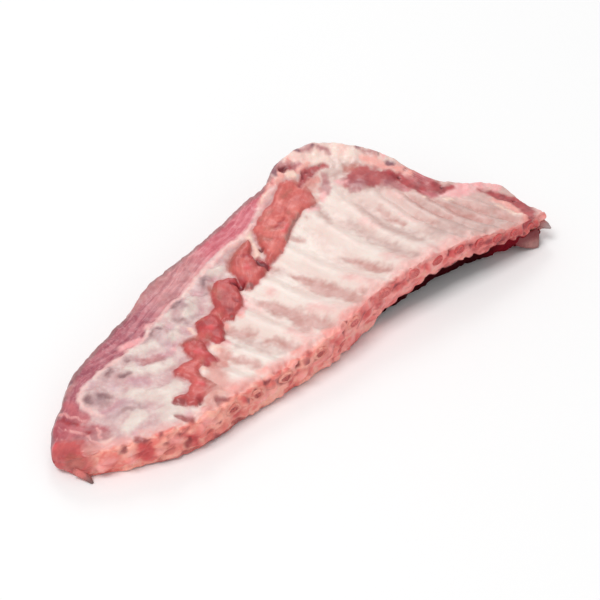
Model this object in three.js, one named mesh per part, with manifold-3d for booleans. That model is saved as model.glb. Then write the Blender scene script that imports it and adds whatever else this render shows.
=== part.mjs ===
// A whole rack of raw pork spareribs lying bone side up, in millimetres, +Z up.
//
// x runs along the rack from the brisket end (-x) to the flank end (+x).
// y runs across it, from the sawn edge, where the ribs were cut from the chine (-y),
// to the belly edge (+y). The rack is a shallow trough: its long edges and its hump stand
// higher than its belly, and its outer, lean side rests on the table.
// The meat is one solid. Thirteen rib bones run through it and show at the sawn edge.

import * as THREE from "three";
import { mergeVertices } from "three/addons/utils/BufferGeometryUtils.js";
import Module from "manifold-3d";

const wasm = await Module();
wasm.setup();

// ---- Driving dimensions -------------------------------------------------------------------

// The two ends of the rack along x, and how far each end is rounded off.
const BRISKET_END_X = -243;
const FLANK_END_X = 243;
const BRISKET_ROUNDING = 20;
const FLANK_ROUNDING = 6;
const END_LINE_SHARE = 0.35; // how high, as a share of the hollow, the ends are drawn in to

// The outline, as the y of each long edge at places along x.
const SAWN_EDGE_Y = [[-243, -79], [-218, -90], [-192, -100], [-166, -107.5], [-141, -110],
  [-106, -105.5], [-56, -102.5], [-6, -97], [39, -86], [114, -81], [220, -80], [243, -76]];
const BELLY_EDGE_Y = [[-243, -47], [-222, -30], [-196, -5], [-161, 13], [-114, 35], [-100, 44],
  [-56, 60], [-16, 71], [34, 86], [60, 92], [71, 101], [84, 107], [104, 110], [126, 104],
  [146, 87], [162, 71], [173, 52], [180, 26], [188, 12], [202, 2], [222, -8], [243, -19]];

// Heights above the table: the rim of the sawn edge, the rim of the belly edge, and the
// lowest line of the upper surface between them.
const SAWN_RIM_Z = [[-243, 20], [-216, 25], [-186, 28], [-56, 29], [-21, 33], [24, 40],
  [64, 45], [114, 47], [149, 45], [179, 39], [243, 28]];
const BELLY_RIM_Z = [[-243, 16], [-222, 21], [-196, 25], [-96, 31], [-16, 37], [54, 45],
  [94, 53], [129, 57], [159, 53], [179, 43], [214, 35], [243, 27]];
const HOLLOW_Z = [[-243, 18], [-216, 24], [-186, 27], [24, 27], [94, 29], [144, 31], [194, 29],
  [243, 24]];
// Share of the width over which each rim falls to the hollow, and how sharply it does.
const RIM_SHARE = 0.42;
const RIM_SHARPNESS = 1.6;

// The height of the sawn face, and how far the lean side draws in below it to the table.
const SAWN_FACE_HEIGHT = [[-243, 17], [-146, 24], [-56, 24], [-6, 22], [49, 19], [149, 19],
  [184, 16], [243, 14]];
const SAWN_UNDERCUT = [[-243, 3], [-196, 1], [-116, 1], [-66, 3], [39, 4], [76, 13], [114, 17],
  [184, 15], [214, 9], [243, 4]];
const SAWN_FACE_BULGE = 1.5;
const LEAST_FACE_FOOT = 1.5;
// The same on the belly side, where the edge is round instead of sawn.
const BELLY_ROLL_HEIGHT = [[-243, 12], [-196, 18], [64, 22], [154, 18], [243, 14]];
const BELLY_UNDERCUT = [[-243, 5], [-96, 9], [44, 18], [124, 34], [169, 24], [243, 8]];
const BELLY_ROLL_INSET = 5;
// Points of the belly roll below its rim: share of the inset inwards, share of the height down.
const BELLY_ROLL_SHAPE = [[0.2, 0.3], [0, 0.65], [0.5, 1]];
// The middle point of the hull below each edge: share of the undercut, share of the height.
const SAWN_HULL_SHAPE = [0.45, 0.5];
const BELLY_HULL_SHAPE = [0.35, 0.3];

// The ribs, from the brisket end: where each meets the sawn edge, how far it leans towards
// the brisket end for each millimetre across the rack, the y where it ends, and the width
// and the thickness of the bone.
const RIBS = [
  { x: -114, lean: 0.50, endY: -83, width: 13, thick: 9 },
  { x: -90, lean: 0.48, endY: -65, width: 13, thick: 9 },
  { x: -62, lean: 0.46, endY: -43, width: 14, thick: 9 },
  { x: -26, lean: 0.38, endY: -21, width: 14, thick: 9.5 },
  { x: 13, lean: 0.30, endY: -1, width: 14, thick: 9.5 },
  { x: 51, lean: 0.24, endY: 21, width: 13.5, thick: 9 },
  { x: 84, lean: 0.10, endY: 41, width: 13, thick: 9 },
  { x: 110, lean: 0.05, endY: 49, width: 12, thick: 8.5 },
  { x: 135, lean: 0.03, endY: 43, width: 11, thick: 8 },
  { x: 157, lean: 0.08, endY: 27, width: 10.5, thick: 8 },
  { x: 177, lean: 0.16, endY: 5, width: 10, thick: 7.5 },
  { x: 197, lean: 0.30, endY: -15, width: 9.5, thick: 7 },
  { x: 218, lean: 0.37, endY: -31, width: 9, thick: 6.5 },
];
const RIB_COVER = 2.2; // membrane and fat over a bone
const RIB_RISE = 2.4; // how far a rib lifts the surface
const RIDGE_HALF_SHARE = 0.62; // half the width of that lift, against the bone's width
const RIB_DEPTH = 0.5 * RIB_RISE - RIB_COVER; // top of a bone against the trough, upwards
const RIB_PROUD = 0.8; // how far a sawn end stands out of the sawn face
const RIB_TAPER = 0.8; // size of a bone's inner end against its sawn end
const RIB_CLEARANCE = 0.3;
const CHANNEL_REACH = 5; // how far a channel is cut past the sawn end
const OVAL_SIDES = 10;
const RIB_STEPS = 6;

// Lobes of red muscle where the ribs meet the gristle, and the dark muscle on the hump's
// inner wall: centre, half length, half width, turn from +x in degrees, and rise.
const MUSCLE_LOBES = [
  { x: 48, y: 50, long: 46, wide: 17, turn: 32, rise: 7 },
  { x: -11, y: 22, long: 28, wide: 16, turn: 60, rise: 8 },
  { x: -48, y: -5, long: 28, wide: 15, turn: 58, rise: 7 },
  { x: -80, y: -27, long: 21, wide: 12, turn: 72, rise: 6 },
  { x: -104, y: -47, long: 22, wide: 11, turn: 86, rise: 6 },
  { x: -125, y: -62, long: 15, wide: 9, turn: -50, rise: 4 },
  { x: -133, y: -85, long: 19, wide: 9, turn: -6, rise: 4 },
  { x: 142, y: 50, long: 26, wide: 14, turn: -35, rise: 3 },
];
const DOME_FIRMNESS = 0.8; // below 1, a lobe or a knob falls off steeply at its edge
// Ends of the rib gristle that lift the fat at the brisket end: centre, radius and rise.
const GRISTLE_KNOBS = [
  { x: -193, y: -40, radius: 14, rise: 3 },
  { x: -170, y: -26, radius: 10, rise: 2.5 },
  { x: -150, y: -21, radius: 9, rise: 2.5 },
  { x: -118, y: -13, radius: 14, rise: 3 },
  { x: -86, y: 8, radius: 13, rise: 3 },
  { x: -54, y: 22, radius: 11, rise: 2.5 },
  { x: -184, y: -66, radius: 14, rise: 2 },
];

// Three scraps of meat that the knife left. The brisket tag and the flank corner run out to a
// point: oval rings from the tip into the rack, with half width along x and half thickness.
const BRISKET_TAG = [
  { x: -228.5, y: -91.8, z: 1.3, wide: 1.0, thick: 0.9 },
  { x: -229.5, y: -86, z: 3.2, wide: 3.2, thick: 2.6 },
  { x: -231, y: -79, z: 6.5, wide: 6.5, thick: 5 },
];
const FLANK_CORNER = [
  { x: 241.5, y: -84, z: 15, wide: 0.8, thick: 0.9 },
  { x: 239.5, y: -80, z: 16.5, wide: 3.2, thick: 3.2 },
  { x: 235, y: -73, z: 17, wide: 7, thick: 6 },
];
// The flank flap hangs in front of the undercut: its outline as [x, z] points, counter
// clockwise, and the y of its front, which swings out towards its lower right corner.
const FLAP_OUTLINE = [[230, 15], [228, 18], [205, 18], [203, 14], [205, 5], [208, 1], [214, 0.6],
  [222, 0.8], [225, 2], [227, 8]];
const FLAP_FRONT_Y = -80.5;
const FLAP_SWING = 6;
const FLAP_THICK = 2.2;

// Mesh steps: cuts along the rack, and segments of each cut over its upper surface, round
// its underside and within a rounded end.
const CUTS = 60;
const TOP_SEGMENTS = 22;
const UNDER_SEGMENTS = 7;
const EDGE_CROWDING = 0.053; // how much closer the upper segments lie near the two edges
const END_CUTS = 3;
const LAST_CUT_BACK = 0.35; // how far the last cut stays back from an end, in its own steps

// ---- Shape functions ----------------------------------------------------------------------

// A smooth curve through [x, value] points, read at any x between the first and the last.
function profile(points) {
  const slopes = points.map(([x, value], i) => {
    const [x0, value0] = points[Math.max(i - 1, 0)];
    const [x1, value1] = points[Math.min(i + 1, points.length - 1)];
    if (i === 0 || i === points.length - 1) return (value1 - value0) / (x1 - x0);
    const before = (value - value0) / (x - x0);
    const after = (value1 - value) / (x1 - x);
    return (after * (x - x0) + before * (x1 - x)) / (x1 - x0);
  });
  return (at) => {
    let i = 0;
    while (i < points.length - 2 && at > points[i + 1][0]) i += 1;
    const step = points[i + 1][0] - points[i][0];
    const t = THREE.MathUtils.clamp((at - points[i][0]) / step, 0, 1);
    const rise = points[i + 1][1] - points[i][1];
    const bendStart = slopes[i] * step - rise;
    const bendEnd = rise - slopes[i + 1] * step;
    const bend = t * (1 - t) * (bendStart * (1 - t) + bendEnd * t);
    return points[i][1] + rise * t + bend;
  };
}

const sawnY = profile(SAWN_EDGE_Y);
const bellyY = profile(BELLY_EDGE_Y);
const sawnRimZ = profile(SAWN_RIM_Z);
const bellyRimZ = profile(BELLY_RIM_Z);
const hollowZ = profile(HOLLOW_Z);
const sawnFaceHeight = profile(SAWN_FACE_HEIGHT);
const sawnUndercut = profile(SAWN_UNDERCUT);
const bellyRollHeight = profile(BELLY_ROLL_HEIGHT);
const bellyUndercut = profile(BELLY_UNDERCUT);

// How strongly a rim still shows at a share of the width away from it.
function rimShare(share) {
  const left = Math.max(1 - share / RIM_SHARE, 0);
  return left ** RIM_SHARPNESS;
}

// The trough: the upper surface without its ribs and lobes.
function troughZ(x, y) {
  const share = THREE.MathUtils.clamp((y - sawnY(x)) / (bellyY(x) - sawnY(x)), 0, 1);
  const hollow = hollowZ(x);
  const sawnSide = (sawnRimZ(x) - hollow) * rimShare(share);
  const bellySide = (bellyRimZ(x) - hollow) * rimShare(1 - share);
  return hollow + sawnSide + bellySide;
}

// The x of a rib's middle line at y.
const ribX = (rib, y) => rib.x - rib.lean * (y - sawnY(rib.x));

// The lift of the surface over a rib: a round ridge that runs out past the bone's end.
function ribLift(rib, x, y) {
  const across = (x - ribX(rib, y)) / (RIDGE_HALF_SHARE * rib.width);
  const beyond = Math.max(y - rib.endY, 0) / rib.width;
  return RIB_RISE * Math.exp(-across * across - beyond * beyond);
}

// A round dome with a firm edge, 1 in the middle and 0 from the edge on.
const dome = (distance) => Math.max(1 - distance * distance, 0) ** DOME_FIRMNESS;

function lobeLift(lobe, x, y) {
  const turn = THREE.MathUtils.degToRad(lobe.turn);
  const along = (x - lobe.x) * Math.cos(turn) + (y - lobe.y) * Math.sin(turn);
  const across = (y - lobe.y) * Math.cos(turn) - (x - lobe.x) * Math.sin(turn);
  return lobe.rise * dome(Math.hypot(along / lobe.long, across / lobe.wide));
}

const knobLift = (knob, x, y) =>
  knob.rise * dome(Math.hypot(x - knob.x, y - knob.y) / knob.radius);

function surfaceZ(x, y) {
  const ribs = RIBS.reduce((sum, rib) => sum + ribLift(rib, x, y), 0);
  const lobes = Math.max(...MUSCLE_LOBES.map((lobe) => lobeLift(lobe, x, y)));
  const knobs = Math.max(...GRISTLE_KNOBS.map((knob) => knobLift(knob, x, y)));
  return troughZ(x, y) + Math.max(ribs, lobes, knobs);
}

// ---- The meat -----------------------------------------------------------------------------

// One closed cut across the rack at x, as [y, z] points: over the upper surface from the
// sawn edge to the belly edge, round that edge, back under the rack and up the sawn face.
function cutAcross(x) {
  const near = sawnY(x);
  const far = bellyY(x);
  const points = [];
  for (let i = 0; i <= TOP_SEGMENTS; i += 1) {
    const share = i / TOP_SEGMENTS;
    const eased = share - EDGE_CROWDING * Math.sin(2 * Math.PI * share);
    const y = near + (far - BELLY_ROLL_INSET - near) * eased;
    points.push([y, surfaceZ(x, y)]);
  }
  const rimZ = points[TOP_SEGMENTS][1];
  const roll = bellyRollHeight(x);
  const footFar = far - bellyUndercut(x);
  for (const [inset, drop] of BELLY_ROLL_SHAPE) {
    points.push([far - inset * BELLY_ROLL_INSET, rimZ - drop * roll]);
  }
  const [bellyHullOut, bellyHullUp] = BELLY_HULL_SHAPE;
  points.push([footFar + bellyHullOut * bellyUndercut(x), bellyHullUp * (rimZ - roll)]);
  const footNear = near + sawnUndercut(x);
  for (let i = 0; i <= UNDER_SEGMENTS; i += 1) {
    points.push([THREE.MathUtils.lerp(footFar, footNear, i / UNDER_SEGMENTS), 0]);
  }
  const faceFoot = Math.max(sawnRimZ(x) - sawnFaceHeight(x), LEAST_FACE_FOOT);
  const [sawnHullOut, sawnHullUp] = SAWN_HULL_SHAPE;
  points.push([near + sawnHullOut * sawnUndercut(x), sawnHullUp * faceFoot]);
  points.push([near, faceFoot]);
  points.push([near - SAWN_FACE_BULGE, 0.5 * (faceFoot + sawnRimZ(x))]);
  return points;
}

// How much of a cut's size is left near the rounded ends of the rack.
function endScale(x) {
  const intoBrisket = Math.max(BRISKET_END_X + BRISKET_ROUNDING - x, 0) / BRISKET_ROUNDING;
  const intoFlank = Math.max(x - FLANK_END_X + FLANK_ROUNDING, 0) / FLANK_ROUNDING;
  return Math.sqrt(1 - Math.max(intoBrisket, intoFlank) ** 2);
}

// How far round the quarter turn of an end its cut i lies.
const endTurn = (i) => (0.5 * Math.PI * (i - LAST_CUT_BACK)) / END_CUTS;

// The x of every cut: evenly spaced, and closer together round each end.
function cutPlaces() {
  const start = BRISKET_END_X + BRISKET_ROUNDING;
  const end = FLANK_END_X - FLANK_ROUNDING;
  const places = [];
  for (let i = END_CUTS; i > 0; i -= 1) {
    places.push(start - BRISKET_ROUNDING * Math.sin(endTurn(i)));
  }
  for (let i = 0; i <= CUTS; i += 1) places.push(THREE.MathUtils.lerp(start, end, i / CUTS));
  for (let i = 1; i <= END_CUTS; i += 1) {
    places.push(end + FLANK_ROUNDING * Math.sin(endTurn(i)));
  }
  return places;
}

// A closed solid through rings of the same number of points, with a fan over each end.
function loft(rings) {
  const sides = rings[0].length;
  const positions = rings.flat();
  const triangles = [];
  for (let r = 0; r < rings.length - 1; r += 1) {
    for (let s = 0; s < sides; s += 1) {
      const a = r * sides + s;
      const b = r * sides + ((s + 1) % sides);
      triangles.push([b, a, a + sides], [b + sides, b, a + sides]);
    }
  }
  const lastStart = (rings.length - 1) * sides;
  for (const start of [0, lastStart]) {
    const middle = new THREE.Vector3();
    positions.slice(start, start + sides).forEach((point) => middle.add(point));
    const centre = positions.push(middle.divideScalar(sides)) - 1;
    for (let s = 0; s < sides; s += 1) {
      const a = start + s;
      const b = start + ((s + 1) % sides);
      triangles.push(start === 0 ? [a, b, centre] : [b, a, centre]);
    }
  }
  const geometry = new THREE.BufferGeometry().setFromPoints(positions);
  geometry.setIndex(triangles.flat());
  return geometry;
}

function meatGeometry() {
  const rings = cutPlaces().map((x) => {
    const scale = endScale(x);
    const middleY = 0.5 * (sawnY(x) + bellyY(x));
    // An end is rounded towards a low line, so that its underside stays on the table.
    const lowZ = END_LINE_SHARE * hollowZ(x);
    return cutAcross(x).map(([y, z]) => new THREE.Vector3(
      x,
      middleY + (y - middleY) * scale,
      lowZ + (z - lowZ) * scale,
    ));
  });
  return loft(rings);
}

// ---- The ribs -----------------------------------------------------------------------------

// An upright oval ring at y.
function ovalRing(x, y, z, halfWide, halfThick) {
  const ring = [];
  for (let side = 0; side < OVAL_SIDES; side += 1) {
    const angle = (2 * Math.PI * side) / OVAL_SIDES;
    const ringX = x + halfWide * Math.cos(angle);
    ring.push(new THREE.Vector3(ringX, y, z + halfThick * Math.sin(angle)));
  }
  return ring;
}

// One ring of a rib at y, with its middle at the x and z that the rib has at pathY.
function ribRing(rib, share, y, pathY, grow) {
  const size = THREE.MathUtils.lerp(1, RIB_TAPER, share);
  const halfWide = 0.5 * rib.width * size + grow;
  const halfThick = 0.5 * rib.thick * size + grow;
  const x = ribX(rib, pathY);
  const z = troughZ(x, pathY) + RIB_DEPTH - 0.5 * rib.thick * size;
  return ovalRing(x, y, z, halfWide, halfThick);
}

const sawnEndY = (rib) => sawnY(rib.x) - SAWN_FACE_BULGE - RIB_PROUD;

// A rib bone, oval in section, bent with the trough.
function ribRings(rib, grow) {
  const rings = [];
  for (let step = 0; step <= RIB_STEPS; step += 1) {
    const share = step / RIB_STEPS;
    const y = THREE.MathUtils.lerp(sawnEndY(rib), rib.endY, share);
    rings.push(ribRing(rib, share, y, y, grow));
  }
  return rings;
}

const ribGeometry = (rib) => loft(ribRings(rib, 0));

// The channel that a rib lies in: the rib with clearance all round, open at the sawn face.
function channelGeometry(rib) {
  const outerY = sawnEndY(rib);
  return loft([
    ribRing(rib, 0, outerY - CHANNEL_REACH, outerY, RIB_CLEARANCE),
    ...ribRings(rib, RIB_CLEARANCE),
    ribRing(rib, 1, rib.endY + RIB_CLEARANCE, rib.endY, RIB_CLEARANCE),
  ]);
}

// ---- The scraps ---------------------------------------------------------------------------

const pointedScrap = (rings) =>
  loft(rings.map((ring) => ovalRing(ring.x, ring.y, ring.z, ring.wide, ring.thick)));

// The hanging flap: a front and a back of the same outline.
function flapGeometry() {
  const [left, right] = [FLAP_OUTLINE[3][0], FLAP_OUTLINE[0][0]];
  const top = FLAP_OUTLINE[1][1];
  const sheet = (back) => FLAP_OUTLINE.map(([x, z]) => {
    const swing = FLAP_SWING * ((x - left) / (right - left)) * (1 - z / top);
    return new THREE.Vector3(x, FLAP_FRONT_Y - swing + back, z);
  });
  return loft([sheet(0), sheet(FLAP_THICK)]);
}

// ---- Joins and cuts -----------------------------------------------------------------------

const MERGE_DISTANCE = 1e-4;

function toManifold(geometry) {
  const merged = mergeVertices(geometry, MERGE_DISTANCE);
  return new wasm.Manifold(new wasm.Mesh({
    numProp: 3,
    vertProperties: merged.attributes.position.array,
    triVerts: new Uint32Array(merged.index.array),
  }));
}

function toGeometry(manifold) {
  const { vertProperties, triVerts } = manifold.getMesh();
  const geometry = new THREE.BufferGeometry();
  geometry.setAttribute("position", new THREE.BufferAttribute(vertProperties, 3));
  geometry.setIndex(new THREE.BufferAttribute(triVerts, 1));
  return geometry;
}

// ---- Assembly -----------------------------------------------------------------------------

const meatFinish = new THREE.MeshStandardMaterial({
  color: 0xdcaaa2, roughness: 0.45, metalness: 0,
});

let meatSolid = toManifold(meatGeometry());
for (const scrap of [pointedScrap(BRISKET_TAG), pointedScrap(FLANK_CORNER), flapGeometry()]) {
  meatSolid = meatSolid.add(toManifold(scrap));
}
for (const rib of RIBS) {
  meatSolid = meatSolid.subtract(toManifold(channelGeometry(rib)));
}
const meat = new THREE.Mesh(toGeometry(meatSolid), meatFinish);
meat.name = "meat";

const ribMeshes = RIBS.map((rib, i) => {
  const boneFinish = new THREE.MeshStandardMaterial({
    color: 0xe6cdbd, roughness: 0.5, metalness: 0,
  });
  const mesh = new THREE.Mesh(ribGeometry(rib), boneFinish);
  mesh.name = `rib_${String(i + 1).padStart(2, "0")}`;
  return mesh;
});

// The origin is under the middle of the rack, on the table.
const rack = new THREE.Group();
rack.add(meat, ...ribMeshes);
const bounds = new THREE.Box3().setFromObject(rack);
const middle = bounds.getCenter(new THREE.Vector3());
rack.children.forEach((mesh) => mesh.geometry.translate(-middle.x, -middle.y, -bounds.min.z));

export default rack;
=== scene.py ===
import math

import bpy
import numpy as np
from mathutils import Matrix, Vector, noise


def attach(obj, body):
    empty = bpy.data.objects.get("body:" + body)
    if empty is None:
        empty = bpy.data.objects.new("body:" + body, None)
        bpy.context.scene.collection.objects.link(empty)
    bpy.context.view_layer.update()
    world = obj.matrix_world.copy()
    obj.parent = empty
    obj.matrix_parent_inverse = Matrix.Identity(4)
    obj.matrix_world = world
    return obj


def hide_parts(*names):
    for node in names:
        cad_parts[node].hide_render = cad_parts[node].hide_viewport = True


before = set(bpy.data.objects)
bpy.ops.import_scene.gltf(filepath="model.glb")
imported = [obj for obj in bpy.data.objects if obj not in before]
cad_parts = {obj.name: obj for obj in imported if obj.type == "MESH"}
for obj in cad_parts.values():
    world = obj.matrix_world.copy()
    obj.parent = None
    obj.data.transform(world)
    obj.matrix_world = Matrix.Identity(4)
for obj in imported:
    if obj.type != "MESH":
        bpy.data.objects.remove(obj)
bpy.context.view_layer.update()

bpy.ops.object.select_all(action="DESELECT")


# ---- The slab -----------------------------------------------------------------------------
# The rack itself: ribs under a thin white membrane, lobes of red muscle and knobs of gristle
# along the brisket side, and lean meat outside. It was sawn off the chine along -y, and cut
# round by knife along the belly edge, +y.

MM = 0.001  # sizes and places here are in millimetres

BRISKET_END = -243
FLANK_END = 243
BRISKET_ROUNDING = 20
FLANK_ROUNDING = 3.5
RACK_MIDDLE = (0.12, -0.76)  # of the outline below, over which the origin lies

# Along the rack, as (x, value): its edges in plan, the heights of its rims and of the hollow
# between them, and how far its sides reach down and in below the rims.
SAWN_EDGE_Y = [(-243, -79), (-218, -90), (-192, -100), (-166, -107.5), (-141, -110),
               (-106, -105.5), (-56, -102.5), (-6, -97), (39, -86), (114, -81), (220, -80),
               (243, -76)]
BELLY_EDGE_Y = [(-243, -47), (-222, -30), (-196, -6), (-161, 13), (-114, 35), (-103, 43.5),
                (-56, 58.5), (-16, 70), (34, 86), (60, 92), (71, 101), (84, 107), (104, 110),
                (126, 104), (146, 87), (162, 71), (173, 52), (180, 26), (188, 12), (202, 2),
                (222, -8), (243, -19)]
SAWN_RIM_Z = [(-243, 20), (-216, 25), (-186, 28), (-56, 29), (-21, 33), (24, 40), (64, 45),
              (114, 47), (149, 45), (179, 39), (243, 28)]
BELLY_RIM_Z = [(-243, 16), (-222, 21), (-196, 25), (-96, 31), (-16, 37), (54, 45), (94, 53),
               (129, 57), (159, 53), (179, 43), (214, 35), (243, 27)]
HOLLOW_Z = [(-243, 18), (-216, 24), (-186, 27), (24, 27), (94, 29), (144, 31), (194, 29),
            (243, 24)]
RIM_SHARE = 0.42  # of the width, over which a rim slopes down to the hollow
RIM_SHARPNESS = 1.6
SAWN_FACE_HEIGHT = [(-243, 17), (-146, 24), (-56, 24), (-6, 22), (49, 19), (149, 19), (184, 16),
                    (243, 14)]
SAWN_UNDERCUT = [(-243, 3), (-196, 1), (-116, 1), (-66, 3), (39, 4), (76, 13), (114, 17),
                 (184, 15), (214, 9), (243, 4)]
SAWN_FACE_BULGE = 1.5
BELLY_ROLL_HEIGHT = [(-243, 12), (-196, 18), (64, 22), (154, 18), (243, 14)]
BELLY_UNDERCUT = [(-243, 5), (-96, 9), (44, 18), (124, 34), (169, 24), (243, 8)]
BELLY_ROLL_INSET = 5

# Where the meat of the sawn face turns into the hull below it, which over the undercut is painted
# shade:
# the distance past the sawn rim, negative down the face. Towards the flank end the line lies higher, so
# the painted shade also covers the face's lower part.
HULL_LINE = [(-243, -27), (-60, -27), (-20, -33), (20, -38), (50, -38), (66, -30), (76, -33),
             (90, -31), (98, -21), (110, -20), (130, -20), (150, -18), (170, -17.5), (190, -15.5),
             (203, -14), (216, -14.5), (230, -15), (243, -24)]

# The ribs, from the brisket end: x at the sawn edge, lean towards the brisket end for each
# millimetre across the rack, the y where the rib ends, and the bone's width and thickness.
RIBS = [(-114, 0.50, -83, 13, 9), (-90, 0.48, -65, 13, 9), (-62, 0.46, -43, 14, 9),
        (-26, 0.38, -21, 14, 9.5), (13, 0.30, -1, 14, 9.5), (51, 0.24, 21, 13.5, 9),
        (84, 0.10, 41, 13, 9), (110, 0.05, 49, 12, 8.5), (135, 0.03, 43, 11, 8),
        (157, 0.08, 27, 10.5, 8), (177, 0.16, 5, 10, 7.5), (197, 0.30, -15, 9.5, 7),
        (218, 0.37, -31, 9, 6.5)]
# How deep the bones lie under the membrane, and how high their ridges rise.
RIB_COVER = 2.2
RIB_RISE = 2.4
# The sawn ends lie a little lower, under the rounded rim, and rise to their place within this.
RIB_END_DIP = 1.7
END_DIP_LENGTH = 10

# The lobes of red muscle, from the hump to the brisket end: how far each one rises, the angle
# of its fibres in degrees, how deep a red it is, 0 to 1, and its outline in plan.
LOBES = [
    (5.0, 38, 0.0, [(4, 13), (11, 21), (12, 35), (17, 43), (19, 50), (27, 57), (38, 64), (54, 69),
                    (61, 75), (69, 82.5), (78, 84), (87, 77), (90, 69), (90, 60), (86, 50), (72, 48),
                    (60, 43), (49, 36), (40, 27.5), (30, 19.5), (23, 15.5), (13, 13.5), (4, 8)]),
    (5.2, 60, 0.35, [(-28, 2), (-28, 10), (-26, 21), (-21, 30), (-12, 36), (0, 40.5), (8, 43),
                     (4, 34), (0, 28), (-1, 21), (3, 14), (6, 7), (-1, 4.5), (-9, -1.5), (-18, -6.5),
                     (-26, -8), (-29, -4)]),
    (4.8, 58, 0.75, [(-65, -14), (-61, -5), (-57, 4), (-51, 12), (-44, 15), (-33, 15), (-28, 9),
                     (-33, 0), (-35.5, -8), (-38, -15), (-43, -22), (-53, -29), (-61, -33),
                     (-67, -28)]),
    (4.6, 72, 1.0, [(-93, -38), (-90, -24), (-86, -16), (-79, -15), (-71, -17), (-67, -22),
                     (-69, -31), (-74, -41), (-80, -49), (-86, -52), (-91, -45)]),
    (2.5, 60, 0.60, [(-74, -14), (-62, -10), (-60, -26), (-70, -28)]),
    (2.5, 80, 0.60, [(-98, -36), (-88, -26), (-86, -42), (-98, -46)]),
    (4.4, 86, 0.72, [(-112, -41), (-111, -33), (-105, -30), (-98, -33), (-95, -40), (-96, -50),
                     (-97, -58), (-98, -65), (-103, -73), (-109, -68), (-112, -60), (-113, -51)]),
    (3.8, -60, 0.5, [(-133, -59), (-130, -53), (-120, -51), (-108, -53), (-106, -61), (-115, -65),
                      (-116, -70), (-115, -79), (-114, -87), (-121, -91), (-129, -93),
                      (-138, -96), (-142, -93), (-150, -83), (-147, -80), (-136, -80),
                      (-129, -76), (-128, -70), (-131, -64)]),
]
LOBE_SHOULDER = 6  # how far in from its edge a lobe is rounded

# Gristle knobs: x, y, radius and rise.
KNOBS = [(-193, -40, 12, 3.0), (-170, -26, 8, 2.2), (-150, -21, 7, 2.0), (-119, -12, 13, 3.2),
         (-86, 7, 12, 3.2), (-54, 21, 10, 2.6), (-183, -66, 13, 2.0), (-158, -45, 12, 1.5)]
# Lines as y along x: lean meat lies past the fat line, and gristle past the lobe line.
FAT_LINE_Y = [(-243, -60), (-206, -40), (-196, -25), (-181, -20), (-161, -17), (-146, -14),
              (-126, -6), (-101, 6), (-66, 23), (-31, 41.5), (12, 53), (24, 60), (39, 68), (64, 82),
              (90, 130), (243, 200)]
LOBE_LINE_Y = [(-243, -140), (-165, -120), (-150, -92), (-120, -76), (-104, -50), (-80, -27),
               (-48, -6), (-12, 20), (20, 30), (48, 51), (76, 65), (110, 90), (243, 160)]

# Patches of tissue, in the order in which they lie: name, light and deep colour, how well it
# covers, how soft its edge is in millimetres, how far it rises, and its strokes. A stroke is a
# list of (x, y, radius) in plan, where past a rim y goes on down the outside as a distance over
# the surface. These lie on the membrane.
UNDER_PATCHES = [("rosy", (248, 206, 199), (238, 180, 174), 0.85, 6.0, 0.0, [
    [(-85, -54, 5)], [(-110, -92, 6), (-98, -97, 5)], [(-20, -72, 7), (-22, -84, 5)],
    [(-72, -97, 5), (-40, -98, 6), (0, -95, 7), (40, -82, 7)],
    [(70, -77, 7), (110, -74, 8), (150, -72, 6)], [(0, -60, 5), (8, -75, 6)], [(-15, -20, 5)],
    [(85, -50, 5), (88, -64, 5)], [(-38, -22, 5), (-35, -31, 4)], [(104, 5, 5), (106, -8, 4)],
    [(133, -8, 2), (136, -24, 3)], [(148, 28, 3), (149, 10, 3)], [(45, -50, 5), (48, -75, 7)],
    [(38, -72, 5)], [(-30, -72, 6), (-28, -88, 6)], [(-150, -60, 8)], [(-172, -50, 7)],
]), ("beige", (212, 178, 170), (194, 154, 147), 0.85, 6.0, 0.0, [
    [(92, 12, 4), (94, -4, 4), (93, -24, 5), (96, -38, 5), (95, -54, 6), (98, -66, 4)],
    [(118, 30, 2), (114, 12, 4), (114, -8, 5), (116, -28, 5), (118, -48, 8)],
    [(135, -50, 8), (152, -46, 10), (162, -64, 12), (190, -68, 12)],
    [(198, -46, 6), (204, -64, 8), (188, -72, 8)], [(150, -66, 8)], [(134, -58, 6)], [(-52, -82, 5)],
    [(5, -2, 5)], [(175, -55, 10)], [(-68, -50, 3), (-63, -62, 5), (-57, -76, 5)],
    [(116, 68, 5), (124, 67, 4)], [(155, 2, 6), (160, -20, 6)], [(172, -18, 5), (184, -36, 6)],
    [(60, -26, 3)], [(-78, -62, 3)], [(82, 38, 3.4), (81, 26, 4.4)], [(122, 44, 5), (134, 42, 6)],
    [(146, 34, 6), (156, 26, 5)],
]), ("stripe", (216, 168, 161), (196, 136, 127), 0.92, 4.0, -1.2, [
    [(-88, -66, 2.4), (-82, -76, 3.6), (-76, -87, 3)],
    [(-72, -38, 3.6), (-65, -43, 5.4), (-59, -52, 4.4)], [(-54, -68, 3)],
    [(-47, -74, 4), (-41, -88, 4.4)],
    [(-30, -25, 3), (-24, -34, 5.4), (-20, -46, 7), (-16, -56, 8), (-13, -66, 9), (-10, -76, 8),
     (-3, -87, 4)], [(-20, -64, 4), (-22, -76, 4)], [(4, 3, 3)],
    [(13, -12, 2), (17, -22, 4), (20, -33, 7), (22, -44, 8.4), (23, -54, 8), (27, -64, 6),
     (29, -82, 4)], [(36, -76, 4)], [(61, -27, 3.4), (65, -42, 5.4), (67, -56, 5.6), (70, -67, 4)],
    [(126, 12, 2), (124, -6, 2.2), (126, -20, 2)], [(144, -16, 2), (144, -34, 2)],
    [(158, 8, 2.5), (156, -8, 2.5), (158, -22, 2.5), (162, -36, 3)], [(169, -6, 1.5), (172, -24, 2)],
    [(172, -30, 4), (176, -44, 7), (183, -58, 7)],
    [(184, -22, 2), (190, -28, 2), (195, -40, 2.6), (197, -48, 3)],
    [(207, -50, 3), (206, -60, 5), (206, -73, 4)], [(68, 40, 2)], [(44, 24, 2.4), (47, 18, 2.4)],
])]
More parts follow.
